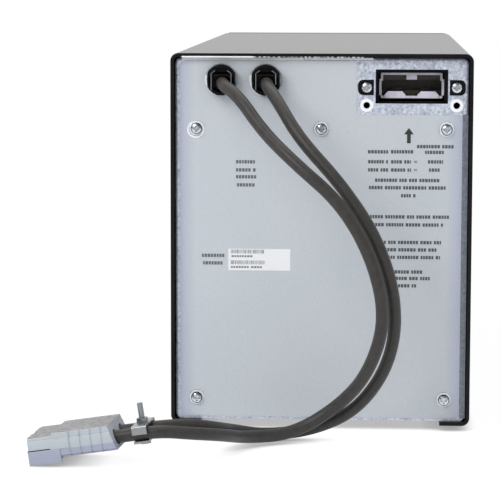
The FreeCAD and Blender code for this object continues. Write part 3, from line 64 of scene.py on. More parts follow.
class Nodes:
    """A small wrapper that adds shader nodes and links them."""

    def __init__(self, name):
        self.material = bpy.data.materials.new(name)
        self.material.use_nodes = True
        self.tree = self.material.node_tree
        self.tree.nodes.clear()
        self.output = self.tree.nodes.new("ShaderNodeOutputMaterial")
        self.where = self.tree.nodes.new("ShaderNodeTexCoord").outputs["Object"]

    def link(self, source, target):
        self.tree.links.new(source, target)

    def shader(self, **sockets):
        node = self.tree.nodes.new("ShaderNodeBsdfPrincipled")
        for name, number in sockets.items():
            node.inputs[name.replace("_", " ")].default_value = number
        self.link(node.outputs[0], self.output.inputs[0])
        return node

    def noise(self, scale, detail=3.0, rough=0.5, stretch=None):
        node = self.tree.nodes.new("ShaderNodeTexNoise")
        node.inputs["Scale"].default_value = scale
        node.inputs["Detail"].default_value = detail
        node.inputs["Roughness"].default_value = rough
        self.link(self.stretched(stretch), node.inputs["Vector"])
        return node.outputs["Fac"]

    def cells(self, scale):
        node = self.tree.nodes.new("ShaderNodeTexVoronoi")
        node.inputs["Scale"].default_value = scale
        self.link(self.where, node.inputs["Vector"])
        grey = self.tree.nodes.new("ShaderNodeRGBToBW")
        self.link(node.outputs["Color"], grey.inputs[0])
        return grey.outputs[0]

    def stretched(self, stretch):
        if stretch is None:
            return self.where
        node = self.tree.nodes.new("ShaderNodeMapping")
        node.inputs["Scale"].default_value = stretch
        self.link(self.where, node.inputs["Vector"])
        return node.outputs[0]

    def axis(self, letter):
        node = self.tree.nodes.new("ShaderNodeSeparateXYZ")
        self.link(self.where, node.inputs[0])
        return node.outputs[letter]

    def along(self, direction, start=(0, 0, 0)):
        """How far a point lies from the start, measured along a direction."""
        shift = self.tree.nodes.new("ShaderNodeVectorMath")
        shift.operation = "SUBTRACT"
        self.link(self.where, shift.inputs[0])
        shift.inputs[1].default_value = start
        dot = self.tree.nodes.new("ShaderNodeVectorMath")
        dot.operation = "DOT_PRODUCT"
        self.link(shift.outputs[0], dot.inputs[0])
        dot.inputs[1].default_value = direction
        return dot.outputs["Value"]

    def facing(self, direction):
        """1 where the surface looks along the direction, 0 where it looks across it."""
        form = self.tree.nodes.new("ShaderNodeNewGeometry")
        dot = self.tree.nodes.new("ShaderNodeVectorMath")
        dot.operation = "DOT_PRODUCT"
        self.link(form.outputs["True Normal"], dot.inputs[0])
        dot.inputs[1].default_value = direction
        return dot.outputs["Value"]

    def ramp(self, source, *stops):
        node = self.tree.nodes.new("ShaderNodeValToRGB")
        marks = node.color_ramp.elements
        while len(marks) < len(stops):
            marks.new(0.5)
        for mark, (place, colour) in zip(marks, stops):
            mark.position = place
            mark.color = (*colour, 1)
        self.link(source, node.inputs[0])
        return node.outputs[0]

    def spread(self, source, low, high, start=0.0, end=1.0):
        node = self.tree.nodes.new("ShaderNodeMapRange")
        set_range(node, start, end, low, high)
        self.link(source, node.inputs["Value"])
        return node.outputs[0]

    def mix(self, first, second, share, kind="MIX"):
        node = self.tree.nodes.new("ShaderNodeMix")
        node.data_type = "RGBA"
        node.blend_type = kind
        for socket, given in ((0, share), (6, first), (7, second)):
            if isinstance(given, bpy.types.NodeSocket):
                self.link(given, node.inputs[socket])
            elif socket == 0:
                node.inputs[0].default_value = given
            else:
                node.inputs[socket].default_value = (*given, 1)
        return node.outputs[2]

    def bump(self, source, height, shader, strength=1.0):
        node = self.tree.nodes.new("ShaderNodeBump")
        node.inputs["Strength"].default_value = strength
        node.inputs["Distance"].default_value = height
        self.link(source, node.inputs["Height"])
        self.link(node.outputs[0], shader.inputs["Normal"])


# ---------------------------------------------------------------- materials

def powder_coat(name, colour, rough):
    """Black powder coat: cloudy tone and a fine orange peel."""
    n = Nodes(name)
    s = n.shader(IOR=1.42, Specular_IOR_Level=0.16)
    tone = n.noise(38, 4)
    n.link(n.ramp(tone, (0.3, [c * 0.8 for c in colour]), (0.7, [c * 1.2 for c in colour])),
           s.inputs["Base Color"])
    n.link(n.spread(n.noise(900, 3), rough - 0.02, rough + 0.02, 0.3, 0.7), s.inputs["Roughness"])
    n.bump(n.noise(2600, 2), 0.000004, s)
    return n.material


def galvanised(name, dark, light, rough=0.36, scale=620):
    """Zinc-coated sheet with a small spangle."""
    n = Nodes(name)
    s = n.shader(Metallic=0.4)
    grains = n.cells(scale)
    cloud = n.noise(900, 5, 0.7)
    spangle = n.ramp(grains, (0.1, dark), (0.9, light))
    tone = n.mix(spangle, n.ramp(cloud, (0.35, dark), (0.65, light)), 0.5)
    n.link(tone, s.inputs["Base Color"])
    n.link(n.spread(grains, rough - 0.08, rough + 0.12), s.inputs["Roughness"])
    n.bump(cloud, 0.00003, s, 0.6)
    return n.material


def zinc(name, tone=0.62, rough=0.24):
    """Bright plated steel with faint scuffs."""
    n = Nodes(name)
    s = n.shader(Metallic=1.0)
    cloud = n.noise(600, 4, 0.6)
    n.link(n.ramp(cloud, (0.3, (tone * 0.86, tone * 0.90, tone * 0.94)),
                  (0.7, (tone * 1.0, tone * 1.04, tone * 1.08))), s.inputs["Base Color"])
    n.link(n.spread(cloud, rough - 0.04, rough + 0.08, 0.3, 0.7), s.inputs["Roughness"])
    n.bump(n.noise(4200, 2), 0.000004, s)
    return n.material


def screw_head(name, tone):
    """A plated screw head: bright on its crown, with painted shade darkening it down its rim, where the
    surface turns away from the front.
    """
    n = Nodes(name)
    s = n.shader(Metallic=1.0)
    scuff = n.ramp(n.noise(900, 4, 0.6), (0.34, (tone * 0.55, tone * 0.66, tone * 0.8)),
                   (0.6, (tone, tone * 1.03, tone * 1.06)))
    # painted shade: the rim is darkened where its surface turns away from the front (-Y)
    rim = n.ramp(n.facing((0, -1, 0)), (0.7, (0.05, 0.06, 0.07)), (0.9, (1, 1, 1)))
    n.link(n.mix(scuff, rim, 1.0, "MULTIPLY"), s.inputs["Base Color"])
    n.link(n.spread(n.noise(700, 3), 0.2, 0.34, 0.3, 0.7), s.inputs["Roughness"])
    n.bump(n.noise(2600, 2), 0.00001, s)
    return n.material


def bare_metal_and_highlight(name, colour):
    """Bright, pale, satin, lightly brushed metal: bare metal on the washers and rings, and painted
    highlight where it lies in strips along the lip and the panel's top edge.
    """
    n = Nodes(name)
    s = n.shader(IOR=1.5)
    brushed = n.noise(900, 4, 0.6, (1, 1, 4))
    n.link(n.ramp(brushed, (0.3, [c * 0.9 for c in colour]), (0.7, colour)), s.inputs["Base Color"])
    n.link(n.spread(brushed, 0.35, 0.5, 0.3, 0.7), s.inputs["Roughness"])
    n.bump(brushed, 0.00001, s)
    return n.material


def printed_film(name):
    """Matt grey film: a fine grain, a painted falloff of light that leaves it paler to the left and low
    down, and painted lilac shade along both side edges, beside the cover's lip.
    """
    n = Nodes(name)
    s = n.shader(IOR=1.46)
    drift = n.noise(9, 2)
    grain = n.noise(2600, 2)
    base = n.ramp(drift, (0.3, (0.590, 0.628, 0.655)), (0.7, (0.636, 0.668, 0.690)))
    speck = n.ramp(grain, (0.35, (0.90, 0.90, 0.91)), (0.65, (1.0, 1.0, 1.0)))
    # painted light: a falloff that leaves the film paler to the left and low down
    across = n.spread(n.along((-0.93, 0, -0.36)), 0, 1, -0.10, 0.06)
    fall = n.ramp(across, (0.0, (0.885, 0.885, 0.89)), (1.0, (1.0, 1.0, 1.0)))
    # painted shade: lilac and darker along both side edges, beside the cover's lip
    width = n.spread(n.axis("X"), 0, 1, -0.0797, 0.0797)
    sides = n.ramp(width, (0.0, (0.80, 0.80, 0.92)), (0.055, (1.0, 1.0, 1.0)),
                   (0.945, (1.0, 1.0, 1.0)), (0.99, (0.86, 0.85, 0.97)))
    toned = n.mix(n.mix(base, fall, 1.0, "MULTIPLY"), sides, 1.0, "MULTIPLY")
    n.link(n.mix(toned, speck, 1.0, "MULTIPLY"), s.inputs["Base Color"])
    n.link(n.spread(grain, 0.5, 0.62, 0.3, 0.7), s.inputs["Roughness"])
    n.bump(grain, 0.00002, s, 0.5)
    return n.material


def moulding(name, colour, rough, grain=1800, height=0.00003, gloss=0.5):
    """Moulded plastic: cloudy tone, fine spark-eroded grain."""
    n = Nodes(name)
    s = n.shader(IOR=1.5, Specular_IOR_Level=gloss)
    cloud = n.noise(70, 4)
    low = [c * 0.88 for c in colour]
    high = [c * 1.12 for c in colour]
    n.link(n.ramp(cloud, (0.3, low), (0.7, high)), s.inputs["Base Color"])
    n.link(n.spread(n.noise(240, 3), rough - 0.05, rough + 0.07, 0.3, 0.7), s.inputs["Roughness"])
    n.bump(n.noise(grain, 3), height, s)
    return n.material


def plug_plastic(name):
    """Grey polycarbonate: painted shade leaves it lilac and darker below the mould's parting line, painted
    light leaves it paler above, and it is scuffed brown on top.
    """
    n = Nodes(name)
    s = n.shader(IOR=1.5)
    cloud = n.noise(130, 5, 0.65)
    height = n.spread(n.along(PLUG_UP, PLUG_MOUTH), 0, 1, -0.008, 0.008)
    # painted light and shade: darker lilac below the parting line, lighter above it, as the light falls
    plain = n.ramp(height, (0.0, (0.34, 0.355, 0.45)), (0.44, (0.35, 0.365, 0.455)),
                   (0.46, (0.44, 0.475, 0.51)), (0.79, (0.48, 0.52, 0.55)), (1.0, (0.45, 0.47, 0.50)))
    worn = n.ramp(n.noise(420, 5, 0.7), (0.36, (0.13, 0.12, 0.115)), (0.5, (0.24, 0.235, 0.235)),
                  (0.64, (0.36, 0.355, 0.40)))
    on_top = n.spread(n.facing(PLUG_UP), 0, 1, 0.75, 0.95)
    above = n.mix(plain, worn, n.spread(height, 0, 1, 0.80, 0.82))
    n.link(n.mix(plain, above, on_top), s.inputs["Base Color"])
    n.link(n.spread(cloud, 0.38, 0.55, 0.3, 0.7), s.inputs["Roughness"])
    n.bump(n.noise(1400, 3), 0.00004, s)
    return n.material


def inlet_plastic(name):
    """The same grey polycarbonate: painted light leaves it pale on its outer rim, and painted shade darkens
    it down its mouth.
    """
    n = Nodes(name)
    s = n.shader(IOR=1.5, Specular_IOR_Level=0.3)
    cloud = n.noise(260, 5, 0.65)
    # painted light and shade: pale at the front of the mouth, darker with depth into it
    depth = n.spread(n.along((0, 1, 0)), 0, 1, -0.2062, -0.1982)
    plain = n.ramp(depth, (0.0, (0.86, 0.84, 0.93)), (0.12, (0.82, 0.80, 0.89)), (0.2, (0.50, 0.47, 0.46)),
                   (0.62, (0.20, 0.175, 0.155)), (1.0, (0.15, 0.13, 0.115)))
    stain = n.ramp(cloud, (0.34, (0.84, 0.82, 0.8)), (0.6, (1.0, 1.0, 1.0)))
    n.link(n.mix(plain, stain, 1.0, "MULTIPLY"), s.inputs["Base Color"])
    n.link(n.spread(cloud, 0.4, 0.6, 0.3, 0.7), s.inputs["Roughness"])
    n.bump(n.noise(1400, 3), 0.00004, s)
    return n.material


def sheath(name, colour=(0.042, 0.039, 0.036)):
    """Extruded PVC sheath: a dusty bloom and a soft shine."""
    n = Nodes(name)
    s = n.shader(IOR=1.5, Specular_IOR_Level=0.3)
    bloom = n.noise(260, 5, 0.6)
    n.link(n.ramp(bloom, (0.32, [c * 0.86 for c in colour]), (0.7, [c * 1.2 for c in colour])),
           s.inputs["Base Color"])
    n.link(n.spread(bloom, 0.36, 0.48, 0.3, 0.7), s.inputs["Roughness"])
    n.bump(n.noise(1700, 3), 0.00005, s)
    return n.material


def paper(name):
    """White label stock with its fibre."""
    n = Nodes(name)
    s = n.shader(IOR=1.45)
    fibre = n.noise(3000, 4)
    n.link(n.ramp(fibre, (0.3, (0.80, 0.80, 0.81)), (0.7, (0.90, 0.90, 0.90))), s.inputs["Base Color"])
    n.link(n.spread(fibre, 0.6, 0.75), s.inputs["Roughness"])
    n.bump(fibre, 0.00001, s)
    return n.material


def ink(name, tone):
    """Printed ink, a little thinner in places."""
    n = Nodes(name)
    s = n.shader(IOR=1.46)
    n.link(n.ramp(n.noise(1500, 3), (0.3, (tone * 0.85, tone * 0.87, tone * 0.92)),
                  (0.7, (tone * 1.2, tone * 1.22, tone * 1.28))), s.inputs["Base Color"])
    n.link(n.spread(n.noise(900, 2), 0.55, 0.7), s.inputs["Roughness"])
    return n.material


def foam(name, colour):
    """Open-cell foam, darker in its pores."""
    n = Nodes(name)
    s = n.shader(IOR=1.4)
    pores = n.cells(900)
    n.link(n.ramp(pores, (0.2, [c * 0.6 for c in colour]), (0.8, colour)), s.inputs["Base Color"])
    n.link(n.spread(pores, 0.8, 0.95), s.inputs["Roughness"])
    n.bump(pores, 0.0002, s)
    return n.material


PAINT = powder_coat("cover_paint", (0.009, 0.009, 0.0092), 0.24)
SHEET = galvanised("galvanised_sheet", (0.30, 0.34, 0.42), (0.84, 0.88, 0.96))
# a darker copy of the galvanised sheet, used as painted shade on the bare strip beside the cover's lip
SHADED_EDGE_SHEET = galvanised("shaded_edge_sheet", (0.11, 0.125, 0.15), (0.27, 0.29, 0.33))
INNER_SHEET = galvanised("inner_sheet", (0.34, 0.35, 0.38), (0.62, 0.63, 0.65), 0.45, 300)
ZINC = zinc("zinc_plate", 0.36, 0.34)
BRIGHT = screw_head("bright_screw", 0.72)
# bare metal for the washers and rings, and painted highlight on the lip and top-edge strips
BARE_AND_HIGHLIGHT = bare_metal_and_highlight("bare_metal_and_highlight", (0.98, 0.98, 1.0))
SHINE = moulding("nylon_shine", (0.20, 0.20, 0.21), 0.3, 1200, 0.00001)
FILM = printed_film("overlay_film")
PAPER = paper("label_paper")
INK = ink("print_ink", 0.085)
SIDE_INK = ink("side_ink", 0.13)
LABEL_INK = ink("label_ink", 0.2)
DARK_INK = ink("arrow_ink", 0.03)
BEZEL = moulding("bezel_plastic", (0.014, 0.014, 0.016), 0.5, 1500, 0.00006)
RUBBER = moulding("foot_rubber", (0.02, 0.02, 0.02), 0.75, 2500, 0.00005)
NYLON = moulding("gland_nylon", (0.002, 0.002, 0.0022), 0.2, 1200, 0.00001, gloss=0.16)
HOUSING = plug_plastic("connector_plastic")
INLET = inlet_plastic("inlet_plastic")
SILVER = zinc("contact_plate", 0.22, 0.4)
BRACKET = powder_coat("bracket_paint", (0.010, 0.010, 0.011), 0.34)
CARRIER = moulding("carrier_plastic", (0.003, 0.003, 0.003), 0.5, gloss=0.12)
SHEATH = sheath("lead_sheath")
INSULATION = sheath("inner_sheath", (0.02, 0.02, 0.021))
CASE = moulding("block_case", (0.045, 0.045, 0.05), 0.5)
LEAD_METAL = zinc("lead_alloy", 0.38)
COPPER = zinc("tinned_copper", 0.68)
FOAM = foam("foam", (0.05, 0.05, 0.055))
LINER = moulding("liner_film", (0.45, 0.45, 0.43), 0.5)
JUNCTION = moulding("junction_plastic", (0.07, 0.07, 0.075), 0.5)
FUSE = moulding("fuse_body", (0.62, 0.58, 0.48), 0.35)

DRESS = {
    PAINT: ["cover"],
    SHEET: ["rear_panel"],
    INNER_SHEET: ["chassis", "front_frame", "battery_door", "battery_retainer"],
    BARE_AND_HIGHLIGHT: ["panel_washers"],
    ZINC: ["cover_screws", "door_screws", "junction_screws", "terminal_bolts",
           "clamp_upper", "clamp_lower", "clamp_screw", "clamp_nut"],
    BRIGHT: ["panel_screws", "carrier_screws"],
    FILM: ["rear_overlay"],
    PAPER: ["serial_label"],
    BEZEL: ["front_bezel"],
    RUBBER: ["foot_rear_left", "foot_rear_right", "foot_front_left", "foot_front_right"],
    NYLON: ["strain_relief_left", "strain_relief_right"],
    HOUSING: ["plug_housing"],
    INLET: ["panel_connector"],
    SILVER: ["panel_contacts", "plug_contacts"],
    BRACKET: ["connector_bracket"],
    CARRIER: ["connector_carrier"],
    SHEATH: ["lead_left", "lead_right", "gland_lead_left", "gland_lead_right", "panel_lead_left",
             "panel_lead_right"],
    INSULATION: ["battery_lead_rear_left", "battery_lead_rear_right", "battery_lead_front_left",
                 "battery_lead_front_right"],
    CASE: ["battery_rear_left", "battery_rear_right", "battery_front_left", "battery_front_right"],
    LEAD_METAL: ["battery_posts"],
    COPPER: ["series_links", "cable_lugs"],
    FOAM: ["side_pads", "end_pads", "retainer_pad"],
    LINER: ["base_liner"],
    JUNCTION: ["junction_block"],
    FUSE: ["fuse"],
}
for material, names in DRESS.items():
    for name in names:
        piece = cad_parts[name]
        for spot in piece.material_slots:
            spot.material = material


# ---------------------------------------------------------------- free leads

LEAD_DIAMETER = 7.0
REAR = -219.5


def lead(name, node, points):
    """One free lead, a smooth curve on the route's control points."""
    line = bpy.data.curves.new(name, "CURVE")
    line.dimensions = "3D"
    line.bevel_depth = LEAD_DIAMETER / 2 * MM
    line.bevel_resolution = 7
    line.resolution_u = 10
    line.use_fill_caps = True
    run = line.splines.new("NURBS")
    run.points.add(len(points) - 1)
    for spot, place in zip(run.points, points):
        spot.co = (*(c * MM for c in place), 1)
    run.order_u = 3
    run.use_endpoint_u = True
    piece = bpy.data.objects.new(name, line)
    bpy.context.scene.collection.objects.link(piece)
    line.materials.append(SHEATH)
    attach(piece, "root")
    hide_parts(node)


def from_rear(points):
    """Route points whose y is given from the case's rear edge."""
    return [(x, REAR + y, z) for x, y, z in points]


lead("near_lead", "lead_left", [
    (-56, -210.5, 197.7), (-56, -231.5, 197.7), *from_rear([
        (-45.0, -28.5, 191.6), (-30.5, -43.0, 172.9), (-12.5, -62.0, 157.4), (13.0, -67.5, 136.0),
        (30.0, -72.0, 106.5), (37.0, -65.0, 73.2), (28.0, -53.0, 42.3), (12.0, -36.0, 21.0),
        (-14.0, -37.0, 4.6), (-40.0, -52.0, 5.6), (-50.0, -81.0, 12.7), (-65.5, -96.5, 16.5)]),
    (-81.46, -321.87, 18.74), (-102.2, -320.89, 15.46), (-122.48, -319.23, 12.24)])
lead("far_lead", "lead_right", [
    (-31, -210.5, 197.7), (-31, -231.5, 197.7), *from_rear([
        (-23.5, -30.5, 189.5), (-10.5, -48.5, 169.5), (12.5, -59.0, 145.8), (32.5, -65.5, 116.7),
        (43.0, -59.5, 81.5), (40.0, -45.5, 47.1), (22.0, -33.0, 18.0), (-3.5, -26.0, 5.0),
        (-30.0, -34.0, 3.4), (-47.5, -50.0, 9.3), (-53.5, -69.5, 14.1), (-65.0, -82.0, 18.1)]),
    (-80.24, -307.92, 18.74), (-100.83, -305.29, 15.46), (-121.09, -303.39, 12.24)])


# ---------------------------------------------------------------- pieces that only the scene has

RING_STEP = 15


def scene_piece(name, mesh, material):
    """Makes a bmesh into a piece that rides the case."""
    bmesh.ops.recalc_face_normals(mesh, faces=mesh.faces)
    data = bpy.data.meshes.new(name)
    mesh.to_mesh(data)
    mesh.free()
    data.materials.append(material)
    piece = bpy.data.objects.new(name, data)
    bpy.context.scene.collection.objects.link(piece)
    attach(piece, "root")


def plates(name, outlines, face, thickness, material):
    """Flat shapes, each a convex outline of (x, z) corners in mm, lying on a face that looks along -Y."""
    mesh = bmesh.new()
    for outline in outlines:
        near = [mesh.verts.new((x * MM, face - thickness * MM, z * MM)) for x, z in outline]
        far = [mesh.verts.new((x * MM, face, z * MM)) for x, z in outline]
        mesh.faces.new(near)
        mesh.faces.new(far[::-1])
        count = len(outline)
        for i in range(count):
            j = (i + 1) % count
            mesh.faces.new((near[j], near[i], far[i], far[j]))
    scene_piece(name, mesh, material)


def bar(x0, x1, z, height):
    """A rectangle whose middle is at height z."""
    return [(x0, z - height / 2), (x1, z - height / 2), (x1, z + height / 2), (x0, z + height / 2)]


def ring(x, z, inner, outer, start=0, end=360):
    """Convex slices of a flat ring between two angles, as (x, z) outlines."""
    def corner(radius, turn):
        return x + radius * math.cos(turn), z + radius * math.sin(turn)

    out = []
    for turn in range(start, end, RING_STEP):
        a, b = math.radians(turn), math.radians(min(turn + RING_STEP, end))
        out.append([corner(inner, a), corner(outer, a), corner(outer, b), corner(inner, b)])
    return out


# ---------------------------------------------------------------- printing on the film and the label

film_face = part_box("rear_overlay")[0].y
label_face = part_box("serial_label")[0].y

STROKE_GAP, WORD_GAP, LAST_STROKE = 0.34, 0.95, 0.5
PRINT_HEIGHT, PRINT_DEPTH = 1.9, 0.04
RIGHT_ROWS = (
    (26.3, 37.6, 158.7), (39.2, 53.3, 158.8), (53.8, 74.5, 161.8), (58.3, 70.1, 158.6),
    (26.4, 37.6, 153.1), (39.3, 50.5, 153.1), (60.0, 68.5, 153.2),
    (26.4, 37.7, 148.5), (39.3, 50.6, 148.5), (60.6, 67.4, 148.6),
    (30.4, 67.5, 142.7), (27.0, 70.9, 138.5), (45.1, 53.5, 134.0),
    (27.7, 72.2, 122.0), (28.9, 68.9, 117.5),
    (30.5, 67.9, 107.5), (26.0, 65.7, 103.3), (30.5, 67.4, 99.0),
    (37.0, 57.9, 90.7), (37.5, 62.5, 87.0), (40.5, 54.1, 82.8))
LEFT_ROWS = (
    (-48.1, -36.2, 152.6), (-48.1, -36.2, 148.0), (-48.1, -36.2, 144.1), (-47.5, -37.3, 139.5),
    (-67.4, -53.6, 99.2), (-66.8, -54.0, 94.9))
DASH_LEFT, DASH_RIGHT, DASH_THICK = 52.2, 53.9, 0.35
ARROW_X, ARROW_TIP, ARROW_NECK, ARROW_FOOT = 49.2, 172.3, 168.6, 163.6
ARROW_HEAD, ARROW_SHAFT = 2.7, 1.05
TICK_HEIGHT, LABEL_ROW_HEIGHT, LABEL_DEPTH = 2.2, 1.1, 0.03


def greeked(x0, x1, z, height):
    """A row of blank strokes the length of a line of print, with gaps at the word breaks."""
    out = []
    x = x0
    in_word = 0
    word = DRAWS.randint(4, 8)
    while x < x1 - LAST_STROKE:
        wide = min(DRAWS.uniform(1.0, 1.55), x1 - x)
        out.append(bar(x, x + wide, z, height))
        x += wide + STROKE_GAP
        in_word += 1
        if in_word >= word:
            x += WORD_GAP
            in_word = 0
            word = DRAWS.randint(3, 8)
    return out


def print_of(rows):
    return [stroke for x0, x1, z in rows for stroke in greeked(x0, x1, z, PRINT_HEIGHT)]


def build_film_print():
    """The film's lines of print, two dashes in pairs, and the plain arrow."""
    right, left = print_of(RIGHT_ROWS), print_of(LEFT_ROWS)
    for z in (153.2, 148.6):
        right += [bar(DASH_LEFT, DASH_RIGHT, z + side * DASH_THICK, DASH_THICK) for side in (1, -1)]
    plates("panel_print", right, film_face, PRINT_DEPTH, INK)
    plates("side_print", left, film_face, PRINT_DEPTH, SIDE_INK)
    head = [(ARROW_X - ARROW_HEAD, ARROW_NECK), (ARROW_X + ARROW_HEAD, ARROW_NECK), (ARROW_X, ARROW_TIP)]
    shaft = [(ARROW_X - ARROW_SHAFT, ARROW_FOOT), (ARROW_X + ARROW_SHAFT, ARROW_FOOT),
             (ARROW_X + ARROW_SHAFT, ARROW_NECK), (ARROW_X - ARROW_SHAFT, ARROW_NECK)]
    plates("panel_arrow", [head, shaft], film_face, PRINT_DEPTH, DARK_INK)


def build_label_print():
    """Random ticks and blank strokes where the label has codes and numbers."""
    marks = []
    for z, left, right in ((101.6, -50.9, -32.0), (95.4, -50.9, -32.0)):
        x = left
        while x < right:
            wide = DRAWS.choice((0.22, 0.22, 0.44))
            marks.append(bar(x, x + wide, z, TICK_HEIGHT))
            x += wide + DRAWS.choice((0.25, 0.25, 0.5))
    for z, left, right in ((98.9, -50.5, -37.0), (92.7, -50.9, -33.0)):
        marks += greeked(left, right, z, LABEL_ROW_HEIGHT)
    plates("label_print", marks, label_face, LABEL_DEPTH, LABEL_INK)


# ---------------------------------------------------------------- bare metal, painted highlights and painted shade

panel_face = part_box("rear_panel")[0].y
cover_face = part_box("cover")[0].y
relief_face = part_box("strain_relief_left")[0].y

HOLES_X, HOLES_Z, HOLE_BARE = (25.4, 75.8), 184.8, (1.95, 3.7)
GLANDS_X, GLANDS_Z, GLAND_BARE = (-56.0, -31.0), 199.0, (8.75, 9.7)
WASHER_RADIUS = 4.0
LIP_LEFT, LIP_HIGHLIGHT_SOLID_TO, LIP_RIGHT, LIP_Z = -78.5, -40, 24, 211.8


def gland_shine(x):
    """Glints down both sides and over the shoulders of the gland at x."""
    return [bar(x - 5.8, x - 5.35, 198.0, 9.4), bar(x + 5.35, x + 5.8, 199.6, 6.2),
            [(x - 5.8, 202.7), (x - 5.35, 202.7), (x - 3.3, 204.1), (x - 3.5, 204.5)],
            [(x + 5.35, 202.7), (x + 5.8, 202.7), (x + 3.5, 204.5), (x + 3.3, 204.1)]]


def lip_highlight():
    """Painted highlight along the lip's lower edge: a solid strip to the left, and specks further on."""
    out = []
    x = LIP_LEFT
    while x < LIP_RIGHT:
        # worn marks the solid stretch of the painted highlight, to the left
        worn = x < LIP_HIGHLIGHT_SOLID_TO
        wide = DRAWS.uniform(3.0, 6.0) if worn else DRAWS.uniform(0.5, 1.8)
        gap = 0 if worn else DRAWS.uniform(0.5, 1.9)
        out.append(bar(x, x + wide, LIP_Z, 0.75 if worn else DRAWS.uniform(0.2, 0.45)))
        x += wide + gap
    return out


def build_bare_metal():
    """Bare sheet past the film's right edge in painted shade, bright rings and arcs round the holes, glands
    and a screw, painted highlights along the lip and the panel's top edge, and the glands' glints.
    """
    # painted shade: the bare strip past the film's right edge is drawn in the darker sheet
    plates("right_edge", [bar(79.1, 82.4, 93.4, 173.0)], film_face, 0.04, SHADED_EDGE_SHEET)
    hole_rings = [part for x in HOLES_X for part in ring(x, HOLES_Z, *HOLE_BARE)]
    plates("hole_rings", hole_rings, panel_face, 0.05, BARE_AND_HIGHLIGHT)
    gland_edges = [part for x in GLANDS_X for part in ring(x, GLANDS_Z, *GLAND_BARE, 165, 250)]
    plates("gland_edges", gland_edges, film_face, 0.04, BARE_AND_HIGHLIGHT)
    shine = [part for x in GLANDS_X for part in gland_shine(x)]
    plates("gland_shine", shine, relief_face + 0.01 * MM, 0.03, SHINE)
    washers_low, washers_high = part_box("panel_washers")
    screw_x, screw_z = washers_low.x / MM + WASHER_RADIUS, washers_high.z / MM - WASHER_RADIUS
    slipped = ring(screw_x - 0.4, screw_z - 0.6, WASHER_RADIUS, 4.9)
    plates("screw_ring", slipped, film_face, 0.32, BARE_AND_HIGHLIGHT)
    # painted highlight along the lip's lower edge
    plates("lip_edge_highlight", lip_highlight(), cover_face, 0.03, BARE_AND_HIGHLIGHT)
    # painted highlight: bright strips on the panel's bare top edge, under the lip
    highlight_under_lip = [bar(LIP_LEFT, -10, 210.6, 1.5), bar(-9.6, 29, 210.75, 1.1)]
    plates("top_edge_highlight", highlight_under_lip, panel_face, 0.05, BARE_AND_HIGHLIGHT)


# ---------------------------------------------------------------- the plug's mouldings

RIBS, RIB_HALF = (-40.8, -35.0, -29.2, -23.4), 0.49
RIB_SIDE, RIB_UP = (16.9, 17.95), (-4.1, 4.6)


def on_plug(name, blocks, material):
    """Small bodies on both sides of the plug, from their (along, side, up) limits in mm."""
    mesh = bmesh.new()
    axes = [Vector(direction) * MM for direction in (PLUG_AXIS, PLUG_SIDE, PLUG_UP)]
    mirrored = [(along, (-side[1], -side[0]), up) for along, side, up in blocks]
    for limits in [*blocks, *mirrored]:
        for vert in bmesh.ops.create_cube(mesh, size=1.0)["verts"]:
            place = Vector(PLUG_MOUTH)
            for share, (low, high), axis in zip(vert.co, limits, axes):
                place += axis * (low + (share + 0.5) * (high - low))
            vert.co = place
    scene_piece(name, mesh, material)


def build_plug_mouldings():
    """Ribs, the deeper lower hood, the raised step above it, and a dark strip of painted shade along the
    line between the two.
    """
    ribs = [((along - RIB_HALF, along + RIB_HALF), RIB_SIDE, RIB_UP) for along in RIBS]
    on_plug("plug_ribs", ribs, HOUSING)
    hood = ((-17.6, -0.1), (16.5, 18.7), (-7.8, -0.5))
    step = ((-22.6, -12.4), (17.9, 18.55), (-0.45, 4.5))
    on_plug("plug_skirt", [hood, step], HOUSING)
    # painted shade: a dark strip standing in for the shadow line between the lower hood and the nose above
    # it
    on_plug("plug_seam_shadow", [((-12.6, -0.1), (17.5, 18.32), (-0.55, 0.0))], CARRIER)


# ---------------------------------------------------------------- floor, light and camera

def light_path_mix(tree, seen, other, rays=("Is Camera Ray", "Is Glossy Ray", "Is Transmission Ray")):
    """The shader that some rays see, and the one that all others see."""
    path = tree.nodes.new("ShaderNodeLightPath")
    total = path.outputs[rays[0]]
    for name in rays[1:]:
        add = tree.nodes.new("ShaderNodeMath")
        add.operation = "MAXIMUM"
        tree.links.new(total, add.inputs[0])
        tree.links.new(path.outputs[name], add.inputs[1])
        total = add.outputs[0]
    blend = tree.nodes.new("ShaderNodeMixShader")
    tree.links.new(total, blend.inputs[0])
    tree.links.new(other, blend.inputs[1])
    tree.links.new(seen, blend.inputs[2])
    return blend.outputs[0]


FLOOR_REACH = 6.0


